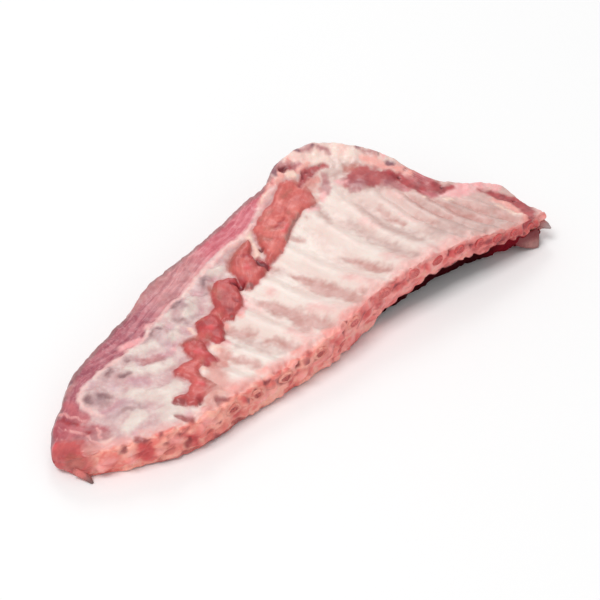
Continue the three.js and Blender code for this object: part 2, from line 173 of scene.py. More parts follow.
# Bars of cartilage, furrows and grey knobs, on the gristle side.
GRISTLE_PATCHES = [("furrow", (222, 164, 172), (196, 130, 142), 0.78, 3.4, -0.9, [
    [(-122, -34, 3), (-132, -34, 3), (-144, -28, 3)], [(-116, -30, 2), (-108, -24, 2.4)],
    [(-100, -16, 3), (-106, -8, 3)], [(-152, -52, 2.4), (-164, -42, 3)], [(-74, -6, 3), (-82, -2, 2)],
    [(-44, 20, 3)], [(-64, 14, 4)], [(-93, -16, 3.4), (-96, -26, 2.4)], [(-140, -86, 3)],
    [(-119, -22, 4.5)], [(-164, -42, 3), (-157, -49, 3)], [(-196, -56, 3), (-184, -56, 3)],
    [(-148, -99, 3.4)], [(-188, -90, 4)],
]), ("bar", (238, 224, 214), (228, 204, 196), 0.9, 3.5, 1.4, [
    [(-128, -44, 5), (-140, -42, 6), (-156, -32, 6)], [(-112, -2, 4), (-119, 2, 3)],
    [(-116, -22, 4), (-130, -18, 5), (-143, -16, 4)], [(-110, -21, 4), (-102, -13, 4)],
    [(-90, -8, 4), (-78, 2, 6), (-72, 8, 5)], [(-98, 4, 3)],
    [(-138, -68, 6), (-152, -70, 8), (-172, -56, 6)], [(-146, -78, 7), (-160, -92, 8)],
    [(-178, -78, 7), (-190, -84, 5)], [(-61, -4, 3)], [(-32, 28, 4), (-44, 28, 5)], [(-95, -14, 3)],
]), ("lilac", (222, 188, 190), (204, 160, 167), 0.75, 3.5, 0.0, [
    [(-120, -10, 4), (-119, -21, 5), (-119, -30, 3)], [(-64, 22, 4), (-58, 29, 3)], [(-106, -10, 3)],
    [(-190, -62, 6), (-176, -60, 5)], [(-189, -26, 4)], [(-82, 8, 4)], [(-147, -32, 3)],
    [(-162, -46, 4), (-156, -50, 4)], [(-176, -38, 4)],
]), ("blotch", (200, 164, 164), (170, 130, 134), 0.85, 4.0, -0.3, [
    [(-198, -42, 5.5), (-190, -44, 7)], [(-173, -26, 5), (-168, -23, 4)], [(-151, -22, 3.6)],
    [(-192, -67, 3), (-181, -65, 3.6), (-172, -69, 3)], [(-58, 18, 4), (-51, 24, 5)],
    [(-91, 8, 4), (-84, 10, 4)], [(-125, -11, 5), (-119, -13, 4)], [(-96, -6, 4)], [(-195, -44, 7)],
    [(-84, 4, 4)], [(-162, -35, 3)], [(-212, -86, 4)], [(-85, -10, 3), (-78, -9, 2.4)],
    [(-121, -14, 5)], [(-91, -12, 4)],
]), ("knob_spot", (178, 136, 134), (126, 84, 90), 0.9, 2.4, -0.6, [
    [(-199, -44, 2.4), (-197, -37, 3)], [(-190, -42, 3), (-185, -46, 1.6)],
    [(-172, -27, 2.2), (-168, -24, 1.6)], [(-151, -23, 2)], [(-163, -34, 1.8), (-159, -36, 1.2)],
    [(-124, -10, 1.6), (-119, -7, 2), (-114, -9, 1.4)], [(-97, -5, 1.8), (-92, -7, 1.6)],
    [(-91, 8, 2), (-84, 10, 1.6)], [(-57, 18, 2), (-51, 23, 2.4)], [(-141, -28, 2)],
    [(-183, -66, 1.8), (-177, -68, 1.4)], [(-60, 10, 1.6)], [(127, 42, 1.8)], [(152, 33, 1.8)],
])]
# Fat, muscle, blood and sinew, along the lean edge, the hump and the rims. The pink kind is partly pink
# tissue and partly painted highlight along the lobes' lower edges.
RIM_PATCHES = [("peach", (255, 230, 218), (253, 210, 200), 0.9, 4.0, 0.4, [
    [(72, 91, 4), (84, 88, 6)], [(92, 100, 6), (104, 96, 8), (120, 90, 9)],
    [(136, 84, 8), (141, 74, 5)], [(150, 74, 4)], [(160, 66, 4), (168, 52, 2.4)], [(-209, -83, 4)],
]), ("salmon", (254, 184, 172), (243, 152, 144), 0.85, 2.6, 0.5, [
    [(66, 82, 3.5), (76, 90, 5)], [(90, 73, 4), (102, 71, 4)], [(91, 98, 3)],
    [(93, 85, 3), (104, 88, 3.4)],
    [(150, 64, 4), (158, 54, 4), (165, 46, 3), (171, 37, 3), (175, 28, 3)], [(-68, -33, 3.4)],
    [(-46, -23, 3), (-54, -31, 3.6)], [(-97, -70, 4.5)], [(-42, -92, 4)], [(-76, -94, 4)],
    [(-10, -92, 5)], [(-134, -103, 3)], [(-118, -92, 4), (-106, -97, 4)], [(-93, -32, 2)],
    [(62, 83, 2.5), (48, 76, 2)], [(219, -34, 4), (224, -50, 4), (223, -66, 4), (216, -78, 4)],
    [(-222, -87, 2)], [(-34, -3, 1.8)], [(-86, -52, 2.4)],
]), ("muscle", (192, 90, 90), (164, 66, 72), 0.97, 3.0, 1.2, [
    [(124, 54, 6), (136, 53, 10.5), (148, 43, 9.5), (157, 37, 6)],
]), ("flush", (206, 108, 114), (174, 74, 86), 0.92, 3.4, 0.0, [
    [(-212, -36, 5), (-211, -52, 5)], [(-228, -44, 8), (-224, -58, 9), (-213, -66, 8)],
    [(-206, -72, 4)], [(-220, -78, 5)], [(-222, -86, 4)], [(159, 28, 3.4), (161, 20, 3)],
    [(172, 8, 4), (176, -3, 4)], [(108, -80, 2)], [(90, 90, 2.5), (97, 90, 1.6)],
    [(178, 22, 4), (182, 10, 4)], [(9, 13, 3.4), (14, 17, 3.4)], [(-31, 4, 5)], [(-66, -24, 5)],
    [(-92, -42, 4)], [(-109, -54, 4)],
]), ("mauve", (200, 134, 134), (172, 102, 108), 0.85, 2.6, 0.0, [
    [(111, 70, 3), (107, 62, 5), (100, 56, 5)], [(92, 91, 3), (84, 101, 4)],
    [(124, 45, 5.5), (131, 45, 5)], [(150, 33, 4.4), (157, 24, 4)], [(99, 58, 4.4), (108, 60, 4)],
    [(84, 45, 3)], [(122, 57, 2.6), (124, 50, 2.4)], [(122, 95, 2.6), (129, 86, 2.6)],
    [(104, 104, 2.2), (116, 99, 2.6)], [(74, 96, 2.6), (82, 102, 2.6)],
    [(150, 75, 1.6), (160, 63, 2.2)], [(-142, -29, 4), (-132, -36, 4.4)],
    [(-206, -22, 3), (-196, -14, 3)], [(-224, -68, 5), (-217, -75, 6), (-208, -76, 5)],
    [(-212, -64, 5)], [(-124, 24, 4), (-108, 34, 4), (-92, 39, 4), (-76, 44, 3)],
    [(-96, 20, 3.4), (-84, 24, 3)], [(-66, 32, 3), (-56, 37, 3)],
]), ("purple", (146, 96, 106), (108, 62, 76), 0.9, 1.8, -0.4, [
    [(71, 92, 2.4), (74, 98, 2.6), (80, 103, 2.4)], [(166, 50, 3), (169, 46, 2)], [(104, 105, 2)],
    [(151, 75, 2.4)], [(163, 60, 1.2)], [(174, 34, 1.6)], [(176, 24, 1.6)], [(82, 49, 2)],
    [(-197, -12, 2)], [(118, 99, 1.4)], [(-241, -54, 1.6), (-233, -42, 1.8), (-226, -34, 1.4)],
# Pink tissue, and painted highlight along the lower edges of the lobes.
]), ("pink_and_painted_highlight", (255, 200, 198), (252, 172, 174), 0.88, 2.8, 0.3, [
    [(184, -8, 4), (196, -11, 5.5), (206, -13, 6), (216, -14, 6), (226, -17, 6), (234, -21, 4)],
    [(229, -24, 4)], [(76, 47, 3.6), (81, 45, 2.8)], [(96, 55, 3), (92, 49, 2)], [(119, 58, 2.4)],
    [(243, -62, 2), (239, -76, 3)], [(-117, -31, 2.4)], [(122, 56, 1.8)], [(166, 56, 1.8)],
    [(-149, -7, 3), (-139, -8, 3.4), (-132, -5, 2.6)], [(-120, 0, 2.6)],
    [(-36, -11, 3), (-42, -20, 3.4), (-50, -27, 3)], [(-134, -104, 3)], [(-80, -52, 3)],
]), ("cream", (254, 222, 205), (250, 200, 182), 0.9, 1.8, 0.8, [
    [(3, 24, 3), (6, 30, 3), (8, 38, 2.6), (12, 48, 3.4), (20, 57, 2)], [(-20, 42, 1.6), (0, 47, 2)],
    [(-92, -50, 3), (-91, -56, 3.4)], [(-112, -66, 3)], [(214, -44, 2), (216, -56, 3), (216, -68, 3.6)],
    [(85, 87, 4.5)], [(179, -14, 2.4), (186, -17, 1.6)], [(166, -1, 1.6)],
    [(-93, -20, 2), (-94, -28, 1.6)], [(44, 73, 2.6), (52, 77, 3)], [(-126, -97, 3), (-116, -94, 3)],
]), ("fat", (250, 214, 206), (242, 186, 184), 0.92, 2.2, 0.7, [
    [(64, 81, 2.2), (50, 74, 2.6), (39, 67.5, 2), (24, 58, 2.2), (12, 51, 3.2), (-11, 44.5, 2.4),
     (-31, 38, 2.2), (-51, 29, 1.8), (-66, 22, 1.8), (-86, 14, 1.6), (-101, 7, 2.0), (-116, 0, 1.8),
     (-128, -8, 1.6), (-146, -14, 1.4), (-163, -17, 2), (-176, -20, 1.4), (-183, -22, 0.8)],
    [(-190, -24, 0.8), (-198, -28, 1.8), (-203, -36, 1.8), (-204, -52, 1.8), (-198, -60, 1.2)],
]), ("sinew", (246, 182, 176), (232, 150, 150), 0.8, 0.9, 0.5, [
    [(-221, -35, 1.0), (-214, -45, 1.1), (-210, -54, 0.8)],
    [(-228, -46, 0.8), (-224, -56, 1.0), (-218, -66, 1.1), (-218, -76, 0.9), (-213, -84, 0.9)],
    [(-208, -68, 0.9), (-211, -78, 1.1)], [(-233, -52, 0.6), (-229, -60, 0.7)],
])]
# Over the lobes, the hump and the ends, down to painted shade in creases, and blood.
LOBE_PATCHES = [("red", (206, 86, 85), (176, 62, 65), 0.97, 4.5, 2.2, [
    [(-239, -65, 11), (-236, -76, 14), (-237, -92, 12), (-235, -108, 11)],
]), ("blend", (228, 162, 152), (210, 140, 131), 0.85, 5.0, 0.0, [
    [(84, 80, 2), (93, 68, 6), (96, 65, 4)], [(88, 54, 4), (84, 50, 2)], [(103, 72, 3)],
    [(34, 27, 0.4), (46, 36, 0.6), (58, 44, 0.6)], [(-222, -82, 4)],
    [(-90, -60, 5), (-99, -70, 6), (-107, -75, 7.4), (-109, -85, 7.4), (-122, -95, 5), (-131, -100, 4)],
]), ("rust", (198, 110, 97), (170, 82, 72), 0.75, 2.4, -0.3, [
    [(-26, 22, 2), (-20, 31, 2.6), (-9, 37, 2.8), (4, 41, 2.6)], [(116, 80, 2.4)],
    [(132, 66, 4), (140, 64, 3)], [(-109, -34, 2.6), (-97, -34, 2.8)], [(-82, -19, 3)],
    [(-109, -60, 2.4), (-104, -66, 2)], [(-54, 12, 2.4), (-51, 3, 2.4), (-56, -5, 2.4)],
    [(17, 38, 3), (22, 33, 2.4)], [(25, 43, 1.4), (40, 38, 1.8)], [(54, 49, 2)],
    [(-237, -77, 5), (-231, -88, 3)], [(-118, -70, 1.6), (-117, -81, 1.6)], [(-90, -40, 2)],
    [(-66, -22, 2)], [(30, 56, 1.4), (44, 62, 1.6)], [(62, 68, 2), (74, 74, 2)],
]), ("crimson", (190, 64, 70), (146, 36, 46), 0.92, 2.6, -0.6, [
    [(159, 42, 3), (165, 33, 5), (169, 24, 5.4), (173, 13, 5)],
    [(178, 9, 4.4), (183, 3, 5), (188, -3, 4.4), (195, -7, 2)], [(184, -4, 3.4)],
    [(214, -20, 1.2), (222, -26, 2.6), (229, -35, 5), (234, -46, 8), (235, -57, 6.4), (230, -67, 5.4),
     (224, -76, 4.4), (212, -84, 3)],
    [(86, 74, 2.4), (93, 78, 4), (100, 80, 4.4), (109, 80, 3.4), (118, 79, 2.4)],
    [(-221, -40, 1), (-219, -46, 2.4), (-215, -55, 2.4)], [(-216, -66, 2.8)], [(-58, -24, 3)],
    [(-46, -16, 2.4)], [(-101, -61, 4.4), (-107, -63, 3)], [(-10, 26, 1.8), (-5, 22, 4)],
    [(-3, 14, 4.4), (1, 20, 3), (2, 9, 4)], [(-39, 8, 2.4), (-34, 5, 4.6), (-28, 3, 4)],
    [(81, 95, 3.6), (88, 94, 2)], [(34, 40, 0.8), (46, 46, 0.8)], [(-130, -57, 2)], [(-134, -92, 2.4)],
]), ("bright", (238, 96, 100), (222, 80, 88), 0.75, 2.6, 0.5, [
    [(-105, -49, 3.6), (-103, -53, 2.4)], [(-82, -32, 3.2)], [(-123, -80, 3.4)], [(-235, -58, 2.4)],
    [(-16, 14, 3)], [(38, 34, 2), (44, 38, 1.6)],
# Painted shade along the creases at the lobes' edges.
]), ("painted_crease_shade", (176, 124, 118), (148, 98, 96), 0.75, 1.0, -1.2, [
    [(34, 25, 1.0), (44, 33, 1.2), (52, 38.5, 1.1), (62, 44, 0.6)], [(-28, -4, 1.4), (-24, -6, 1.6)],
    [(22, 16, 1.2)], [(-60, -30, 1)], [(115, 81, 1.6)], [(-136, -95, 1.6)],
]), ("clot", (170, 80, 80), (136, 54, 58), 0.9, 1.8, -1.0, [
    [(-203, -98, 3.6)], [(-189, -98, 4.4), (-185, -102, 3.4)], [(-154, -98, 3.2), (-149, -103, 3.4)],
    [(-175, -104, 2.2)], [(-122, -100, 2.2), (-115, -104, 2)], [(-100, -111, 2.6)],
    [(-92, -106, 1.8), (-89, -110, 1.8)], [(-79, -104, 2.8)], [(-66, -110, 3.6)], [(-40, -106, 2.8)],
    [(-147, -84, 2.8), (-143, -88, 2)],
]), ("maroon", (124, 26, 38), (98, 16, 28), 0.92, 1.4, -1.8, [
    [(82, 95, 3.2), (87, 95, 1.6)], [(93, 79, 1.4), (99, 81, 1)],
    [(-3, 19, 2), (-3, 13, 3.2), (1, 8, 2.6)], [(-36, 3, 2.4), (-31, 1, 2.6)], [(10, 29, 2.2)],
    [(187, -1, 1.6)], [(233, -45, 1.2)], [(165, 33, 1.4)], [(95, 81, 1.2)],
])]
# On the sawn face, where a stroke's second number is the distance past the sawn rim, negative
# down the face. Its pale pink spots are painted highlight on the lumps.
FACE_PATCHES = [("face_painted_highlight", (255, 180, 173), (255, 156, 152), 0.85, 3.5, 0.5, [
    [(-222, -14, 3), (-212, -10, 4)], [(-198, -8, 2.6), (-196, -18, 2.6)], [(-178, -14, 2.6)],
    [(-168, -7, 2.6), (-164, -13, 2.6)], [(-141, -4, 4), (-134, -7, 3)], [(-73, -15, 3)],
    [(-86, -14, 4), (-80, -12, 3)], [(-67, -6, 3), (-63, -9, 2.4)], [(-46, -16, 3)], [(-25, -17, 4)],
    [(-15, -10, 3)], [(9, -12, 3)], [(14, -22, 3)], [(30, -21, 3)], [(52, -15, 4), (58, -15, 4.4)],
    [(57, -24, 4)], [(78, -17, 3), (84, -19, 3)], [(88, -5, 4)], [(107, -8, 4), (112, -12, 3)],
    [(136, -9, 4)], [(152, -2, 3)], [(236, -3, 4), (238, -11, 4)], [(116, -7, 3)], [(15, -5, 4)],
    [(-52, -2, 3)], [(-5, -3, 3)], [(34, -5, 2.4)],
]), ("face_red", (216, 70, 72), (194, 50, 56), 0.85, 3.0, -0.4, [
    [(-190, -5, 4), (-187, -11, 6), (-186, -17, 5)], [(-104, -6, 2.4)], [(-37, -17, 3)],
    [(-158, -8, 3), (-152, -13, 4.4), (-150, -20, 3.4)], [(-113, -12, 3.4), (-107, -17, 3.4)],
    [(-64, -4, 2), (-57, -14, 3)], [(-12, -6, 2.4), (-4, -14, 2.6), (2, -22, 3)],
    [(22, -5, 2.4), (30, -14, 3)], [(40, -4, 3), (45, -12, 4)], [(60, -6, 3), (66, -9, 3)],
    [(95, -3, 3), (98, -10, 3.4)], [(121, -4, 3), (127, -7, 3.6)], [(148, -5, 3.4), (156, -8, 3.4)],
    [(163, -6, 3.4), (170, -10, 3.4)], [(180, -12, 3)], [(72, -12, 2.4)], [(34, -24, 3), (38, -29, 2)],
]), ("face_deep", (156, 44, 48), (130, 28, 36), 0.92, 1.8, -0.9, [
    [(-163, -4, 2)], [(-155, -14, 2.4), (-157, -19, 2.4)], [(-126, -12, 2)], [(-78, 0, 2)],
    [(-60, -10, 2)], [(-47, -5, 2.6)], [(-29, -10, 3)], [(1, -7, 2.2)], [(1, -19, 2.2)], [(6, -2, 1.8)],
    [(27, -10, 2)], [(48, -3, 2)], [(64, -8, 2.4)], [(77, -10, 1.4)], [(125, -6, 2.6)],
    [(147, -6, 2.4)], [(166, -7, 2.4)], [(184, -7, 2.6), (183, -13, 2.6)], [(203, -15, 3.4)],
    [(212, -13, 2.4)],
])]

# Steps of the skin: cuts along the rack, cuts within each rounded end, and steps of each
# stretch of a cut, from under the middle round by the sawn face.
CUTS = 392
END_CUTS = 14
UNDER_STEPS = 7
NEAR_HULL_STEPS = 10
FACE_STEPS = 20
TOP_STEPS = 138
ROLL_STEPS = 14
FAR_HULL_STEPS = 12
ROUNDING_PASSES = 5

# Distances to the inside go no lower than this.
OUT_OF_REACH = -30.0
# Noise: how smooth it is, and how many times finer each of its octaves is.
LUMP_SMOOTHNESS = 0.8
LUMP_RATIO = 2.0
# Cells: how far each strays from its row, as a share of its size, and how far the rows go.
CELL_SCATTER = 0.45
CELLS_ALONG = 260
CELLS_DOWN = 50
CELLS_UP = 14


def profile(points):
    """A smooth curve through (x, value) points."""
    places, values = np.array(points, float).T
    gaps = np.diff(places)
    rises = np.diff(values) / gaps
    inner = (rises[1:] * gaps[:-1] + rises[:-1] * gaps[1:]) / (gaps[1:] + gaps[:-1])
    slopes = np.concatenate([rises[:1], inner, rises[-1:]])

    def read(x):
        i = np.clip(np.searchsorted(places, x) - 1, 0, len(gaps) - 1)
        t = np.clip((x - places[i]) / gaps[i], 0, 1)
        rise = values[i + 1] - values[i]
        bend_start = slopes[i] * gaps[i] - rise
        bend_end = rise - slopes[i + 1] * gaps[i]
        return values[i] + rise * t + t * (1 - t) * (bend_start * (1 - t) + bend_end * t)

    return read


sawn_y = profile(SAWN_EDGE_Y)
belly_y = profile(BELLY_EDGE_Y)
sawn_rim_z = profile(SAWN_RIM_Z)
belly_rim_z = profile(BELLY_RIM_Z)
hollow_z = profile(HOLLOW_Z)
sawn_face_height = profile(SAWN_FACE_HEIGHT)
sawn_undercut = profile(SAWN_UNDERCUT)
belly_roll_height = profile(BELLY_ROLL_HEIGHT)
belly_undercut = profile(BELLY_UNDERCUT)
hull_line = profile(HULL_LINE)
fat_line_y = profile(FAT_LINE_Y)
lobe_line_y = profile(LOBE_LINE_Y)


def trough_z(x, y):
    """The height of the inner side without its ribs and lobes."""
    share = np.clip((y - sawn_y(x)) / (belly_y(x) - sawn_y(x)), 0, 1)
    sawn_share = np.maximum(1 - share / RIM_SHARE, 0) ** RIM_SHARPNESS
    belly_share = np.maximum(1 - (1 - share) / RIM_SHARE, 0) ** RIM_SHARPNESS
    hollow = hollow_z(x)
    return hollow + (sawn_rim_z(x) - hollow) * sawn_share + (belly_rim_z(x) - hollow) * belly_share


def lumps(x, y, z, size, octaves):
    """Smooth noise from about -1 to 1, with lumps about this many millimetres across.

    A plain number for y or z picks a layer of the noise that nothing else uses.
    """
    x, y, z = np.broadcast_arrays(x, y, z)
    places = np.stack([x.ravel(), y.ravel(), z.ravel()], axis=1) / size
    values = [noise.fractal(place, LUMP_SMOOTHNESS, LUMP_RATIO, octaves) for place in places.tolist()]
    return np.array(values).reshape(x.shape)


def to_segment(x, y, start, end):
    """How far along a segment the nearest point of it lies, 0 to 1, and how far off it is."""
    (x0, y0), (x1, y1) = start, end
    long = max((x1 - x0) ** 2 + (y1 - y0) ** 2, 1e-6)
    along = np.clip(((x - x0) * (x1 - x0) + (y - y0) * (y1 - y0)) / long, 0, 1)
    gap = np.hypot(x - x0 - (x1 - x0) * along, y - y0 - (y1 - y0) * along)
    return along, gap


def reach(strokes, x, y):
    """How far inside the nearest stroke each point lies, in millimetres."""
    best = np.full(x.shape, OUT_OF_REACH)
    for stroke in strokes:
        for (*start, start_size), (*end, end_size) in zip(stroke, stroke[1:] or stroke):
            along, gap = to_segment(x, y, start, end)
            best = np.maximum(best, start_size + (end_size - start_size) * along - gap)
    return best


def within(outline, x, y):
    """How far inside a closed outline each point lies, in millimetres."""
    nearest = np.full(x.shape, np.inf)
    inner = np.zeros(x.shape, bool)
    for start, end in zip(outline, outline[1:] + outline[:1]):
        nearest = np.minimum(nearest, to_segment(x, y, start, end)[1])
        (x0, y0), (x1, y1) = start, end
        if y0 != y1:
            crossing = x0 + (y - y0) * (x1 - x0) / (y1 - y0)
            inner ^= ((y0 > y) != (y1 > y)) & (x < crossing)
    return np.maximum(np.where(inner, nearest, -nearest), OUT_OF_REACH)


def fade(value, low, high):
    """0 up to low, 1 from high on, with an eased step between."""
    t = np.clip((value - low) / (high - low), 0, 1)
    return t * t * (3 - 2 * t)


def bend(controls, steps):
    """Points of a smooth curve through control points, for every cut, without the last one."""
    points = np.stack(controls, axis=1)
    ends = np.concatenate([points[:, :1], points, points[:, -1:]], axis=1)
    slopes = (ends[:, 2:] - ends[:, :-2]) / 2
    along = np.arange(steps) * (points.shape[1] - 1) / steps
    i = along.astype(int)
    t = (along - i)[None, :, None]
    start, stop = points[:, i], points[:, i + 1]
    rise = stop - start
    curve = (slopes[:, i] - rise) * (1 - t) + (rise - slopes[:, i + 1]) * t
    return start + rise * t + t * (1 - t) * curve


def cell_field(x, y, wide, tall, seed):
    """Uneven cells: how far off the nearest seam and the cell's middle are, and its value."""
    random = np.random.default_rng(seed)
    columns, rows = np.meshgrid(np.arange(-CELLS_ALONG / wide, CELLS_ALONG / wide),
                                np.arange(-CELLS_DOWN / tall, CELLS_UP / tall))
    seeds = np.stack([columns.ravel() * wide, rows.ravel() * tall], axis=1)
    seeds += random.uniform(-CELL_SCATTER, CELL_SCATTER, seeds.shape) * (wide, tall)
    values = random.uniform(0, 1, len(seeds))
    first = np.full(x.shape, np.inf)
    second = np.full(x.shape, np.inf)
    owner = np.zeros(x.shape)
    for (seed_x, seed_y), value in zip(seeds, values):
        gap = np.hypot(x - seed_x, (y - seed_y) * wide / tall)
        nearer = gap < first
        second = np.where(nearer, first, np.minimum(second, gap))
        owner = np.where(nearer, value, owner)
        first = np.where(nearer, gap, first)
    return (second - first) / 2, first, owner


def shape_grid(name, rings, attributes):
    """A closed skin over rings of points: a grid whose seam and ends are merged."""
    rows, columns = rings.shape[:2]
    bpy.ops.mesh.primitive_grid_add(x_subdivisions=columns - 1, y_subdivisions=rows - 1)
    piece = bpy.context.object
    piece.name = name
    mesh = piece.data
    mesh.name = name
    places = (rings - (*RACK_MIDDLE, 0)) * MM
    mesh.vertices.foreach_set("co", places.astype(np.float32).ravel())
    for label, values in attributes.items():
        kind, key = ("FLOAT_VECTOR", "vector") if values.ndim == 3 else ("FLOAT", "value")
        layer = mesh.attributes.new(label, kind, "POINT")
        layer.data.foreach_set(key, values.astype(np.float32).ravel())
    bpy.ops.object.mode_set(mode="EDIT")
    bpy.ops.mesh.select_all(action="SELECT")
    bpy.ops.mesh.remove_doubles(threshold=1e-6)
    bpy.ops.mesh.normals_make_consistent(inside=False)
    bpy.ops.object.mode_set(mode="OBJECT")
    bpy.ops.object.shade_smooth()
    return piece


# The x of every cut, closer together round the ends.
turn = np.linspace(0, math.pi / 2, END_CUTS + 1)[:0:-1]
brisket_cuts = BRISKET_END + BRISKET_ROUNDING * (1 - np.sin(turn))
flank_cuts = FLANK_END - FLANK_ROUNDING * (1 - np.sin(turn[::-1]))
middle_cuts = np.linspace(BRISKET_END + BRISKET_ROUNDING, FLANK_END - FLANK_ROUNDING, CUTS)
cuts = np.concatenate([brisket_cuts, middle_cuts, flank_cuts])

# The outline of every cut. Its edges and its sawn rim wander a little.
LOWEST_FACE_FOOT = 1.5
RIM_LIFT_SHARE = 0.12  # of the width, over which the rim's wandering dies out
near_y = sawn_y(cuts) + 1.4 * lumps(cuts, 0, 0, 16, 3)
far_y = belly_y(cuts) + 1.2 * lumps(cuts, 40, 0, 18, 3)
near_rim = sawn_rim_z(cuts) + 1.2 * lumps(cuts, 80, 0, 14, 3)
roll_y = far_y - BELLY_ROLL_INSET
far_rim = trough_z(cuts, roll_y)
roll = belly_roll_height(cuts)
roll_foot_y = far_y - 0.5 * BELLY_ROLL_INSET
foot_far = far_y - belly_undercut(cuts)
foot_near = near_y + sawn_undercut(cuts)
face_foot = np.maximum(near_rim - sawn_face_height(cuts), LOWEST_FACE_FOOT)
middle_y = 0.5 * (near_y + far_y)
ground = np.zeros_like(cuts)


def at(y, z):
    """A point of every cut."""
    return np.stack([y, z], axis=1)


under_near = bend([at(middle_y, ground), at(foot_near, ground)], UNDER_STEPS)
near_hull = bend([at(foot_near, ground), at(near_y + 0.45 * sawn_undercut(cuts), 0.5 * face_foot),
                  at(near_y, face_foot)], NEAR_HULL_STEPS)
face = bend([at(near_y, face_foot), at(near_y - SAWN_FACE_BULGE, 0.5 * (face_foot + near_rim)),
             at(near_y, near_rim)], FACE_STEPS)
top_share = np.arange(TOP_STEPS) / TOP_STEPS
top_y = near_y[:, None] + (roll_y - near_y)[:, None] * top_share
rim_lift = (near_rim - sawn_rim_z(cuts))[:, None] * np.maximum(1 - top_share / RIM_LIFT_SHARE, 0)
top = np.stack([top_y, trough_z(cuts[:, None], top_y) + rim_lift], axis=2)
belly_roll = bend([at(roll_y, far_rim), at(far_y - 0.2 * BELLY_ROLL_INSET, far_rim - 0.3 * roll),
                   at(far_y, far_rim - 0.65 * roll), at(roll_foot_y, far_rim - roll)], ROLL_STEPS)
far_hull = bend([at(roll_foot_y, far_rim - roll),
                 at(foot_far + 0.35 * belly_undercut(cuts), 0.3 * (far_rim - roll)),
                 at(foot_far, ground)], FAR_HULL_STEPS)
under_far = bend([at(foot_far, ground), at(middle_y, ground)], UNDER_STEPS)
section = np.concatenate([under_near, near_hull, face, top, belly_roll, far_hull, under_far,
                          at(middle_y, ground)[:, None]], axis=1)
sawn_rim = UNDER_STEPS + NEAR_HULL_STEPS + FACE_STEPS
belly_rim = sawn_rim + TOP_STEPS
off_table = slice(UNDER_STEPS, -UNDER_STEPS - 1)
for _ in range(ROUNDING_PASSES):
    eased = section.copy()
    eased[:, 1:-1] = (section[:, :-2] + 2 * section[:, 1:-1] + section[:, 2:]) / 4
    section[:, off_table] = eased[:, off_table]

# The ends are rounded towards a low line, so that the underside stays on the table.
END_LINE_SHARE = 0.35
into_brisket = np.maximum(BRISKET_END + BRISKET_ROUNDING - cuts, 0) / BRISKET_ROUNDING
into_flank = np.maximum(cuts - FLANK_END + FLANK_ROUNDING, 0) / FLANK_ROUNDING
end_scale = np.sqrt(np.maximum(1 - np.maximum(into_brisket, into_flank) ** 2, 0))
end_scale[[0, -1]] = 0
low_z = END_LINE_SHARE * hollow_z(cuts)
y = middle_y[:, None] + (section[:, :, 0] - middle_y[:, None]) * end_scale[:, None]
z = low_z[:, None] + (section[:, :, 1] - low_z[:, None]) * end_scale[:, None]
x = np.repeat(cuts[:, None], section.shape[1], axis=1)

# The plan of the skin: y on the top, and from each rim on the distance over the surface.
FAR_AWAY = 99.0
stretches = np.hypot(np.diff(y, axis=1), np.diff(z, axis=1))
travelled = np.concatenate([np.zeros((len(cuts), 1)), np.cumsum(stretches, axis=1)], axis=1)
v = y.copy()
v[:, :sawn_rim] = y[:, [sawn_rim]] - (travelled[:, [sawn_rim]] - travelled[:, :sawn_rim])
v[:, belly_rim:] = y[:, [belly_rim]] + travelled[:, belly_rim:] - travelled[:, [belly_rim]]
from_sawn = np.where(np.arange(v.shape[1]) < belly_rim, v - y[:, [sawn_rim]], FAR_AWAY)
from_belly = np.where(np.arange(v.shape[1]) > sawn_rim, y[:, [belly_rim]] - v, FAR_AWAY)

# Reliefs, all in millimetres along the surface's normal. The ribs' ridges come first.
RIDGE_HEIGHT = 3.0
RIDGE_WIDTH = 0.66  # half of it, as a share of the bone's width
RIDGE_SHARPNESS = 2.6
ridge = np.zeros_like(x)
for rib_x, lean, end_y, width, thick in RIBS:
    ridge_x = rib_x - lean * (v - sawn_y(rib_x))
    across = (x - ridge_x) / (RIDGE_WIDTH * width)
    beyond = np.maximum(v - end_y, 0) / width
    ridge = np.maximum(ridge, np.exp(-np.abs(across) ** RIDGE_SHARPNESS - beyond ** 2))

# The lobes, of which the large one sinks into the hump, and the gristle knobs.
LOBE_MARGIN = 4
LOBE_SINK = 0.8
LOBE_STRAY = 1.7
KNOB_ROUNDNESS = 0.8
lobe_x = x + LOBE_STRAY * lumps(x, v, 150, 9, 2)
lobe_v = v + LOBE_STRAY * lumps(x, v, 190, 9, 2)
lobe = np.full(x.shape, OUT_OF_REACH)
lobe_lift = np.zeros_like(x)
fibre_turn = np.full(x.shape, 90.0)
flesh = np.zeros_like(x)
for rise, fibre_angle, redness, outline in LOBES:
    inner = within(outline, lobe_x, lobe_v)
    owned = (inner > lobe) & (inner > -LOBE_MARGIN)
    fibre_turn = np.where(owned, fibre_angle, fibre_turn)
    flesh = np.where(owned, redness, flesh)
    lobe = np.maximum(lobe, inner)
    shoulder = np.clip(inner / LOBE_SHOULDER, 0, 1)
    lobe_lift = np.maximum(lobe_lift, rise * np.sqrt(1 - (1 - shoulder) ** 2))
lobe_lift *= 1 - LOBE_SINK * fade(v, 40, 74)
knob_lift = np.zeros_like(x)
for knob_x, knob_y, radius, rise in KNOBS:
    gap = np.hypot(x - knob_x, v - knob_y)
    knob_lift = np.maximum(knob_lift, rise * np.maximum(1 - (gap / radius) ** 2, 0) ** KNOB_ROUNDNESS)

# Tissue never ends on a clean curve, so strokes are read at places that wander a little.
STRAY = 2.8
loose_x = x + STRAY * lumps(x, v, 50, 13, 3)
loose_v = v + STRAY * lumps(x, v, 90, 13, 3)
patches = {}


def raise_patches(kinds, stroke_v):
    """Notes where each patch lies, and gives how far these kinds raise the skin."""
    lift = np.zeros_like(x)
    for name, light, deep, cover, soft, rise, strokes in kinds:
        patches[name] = reach(strokes, loose_x, stroke_v)
        lift += rise * fade(patches[name], -soft, soft)
    return lift


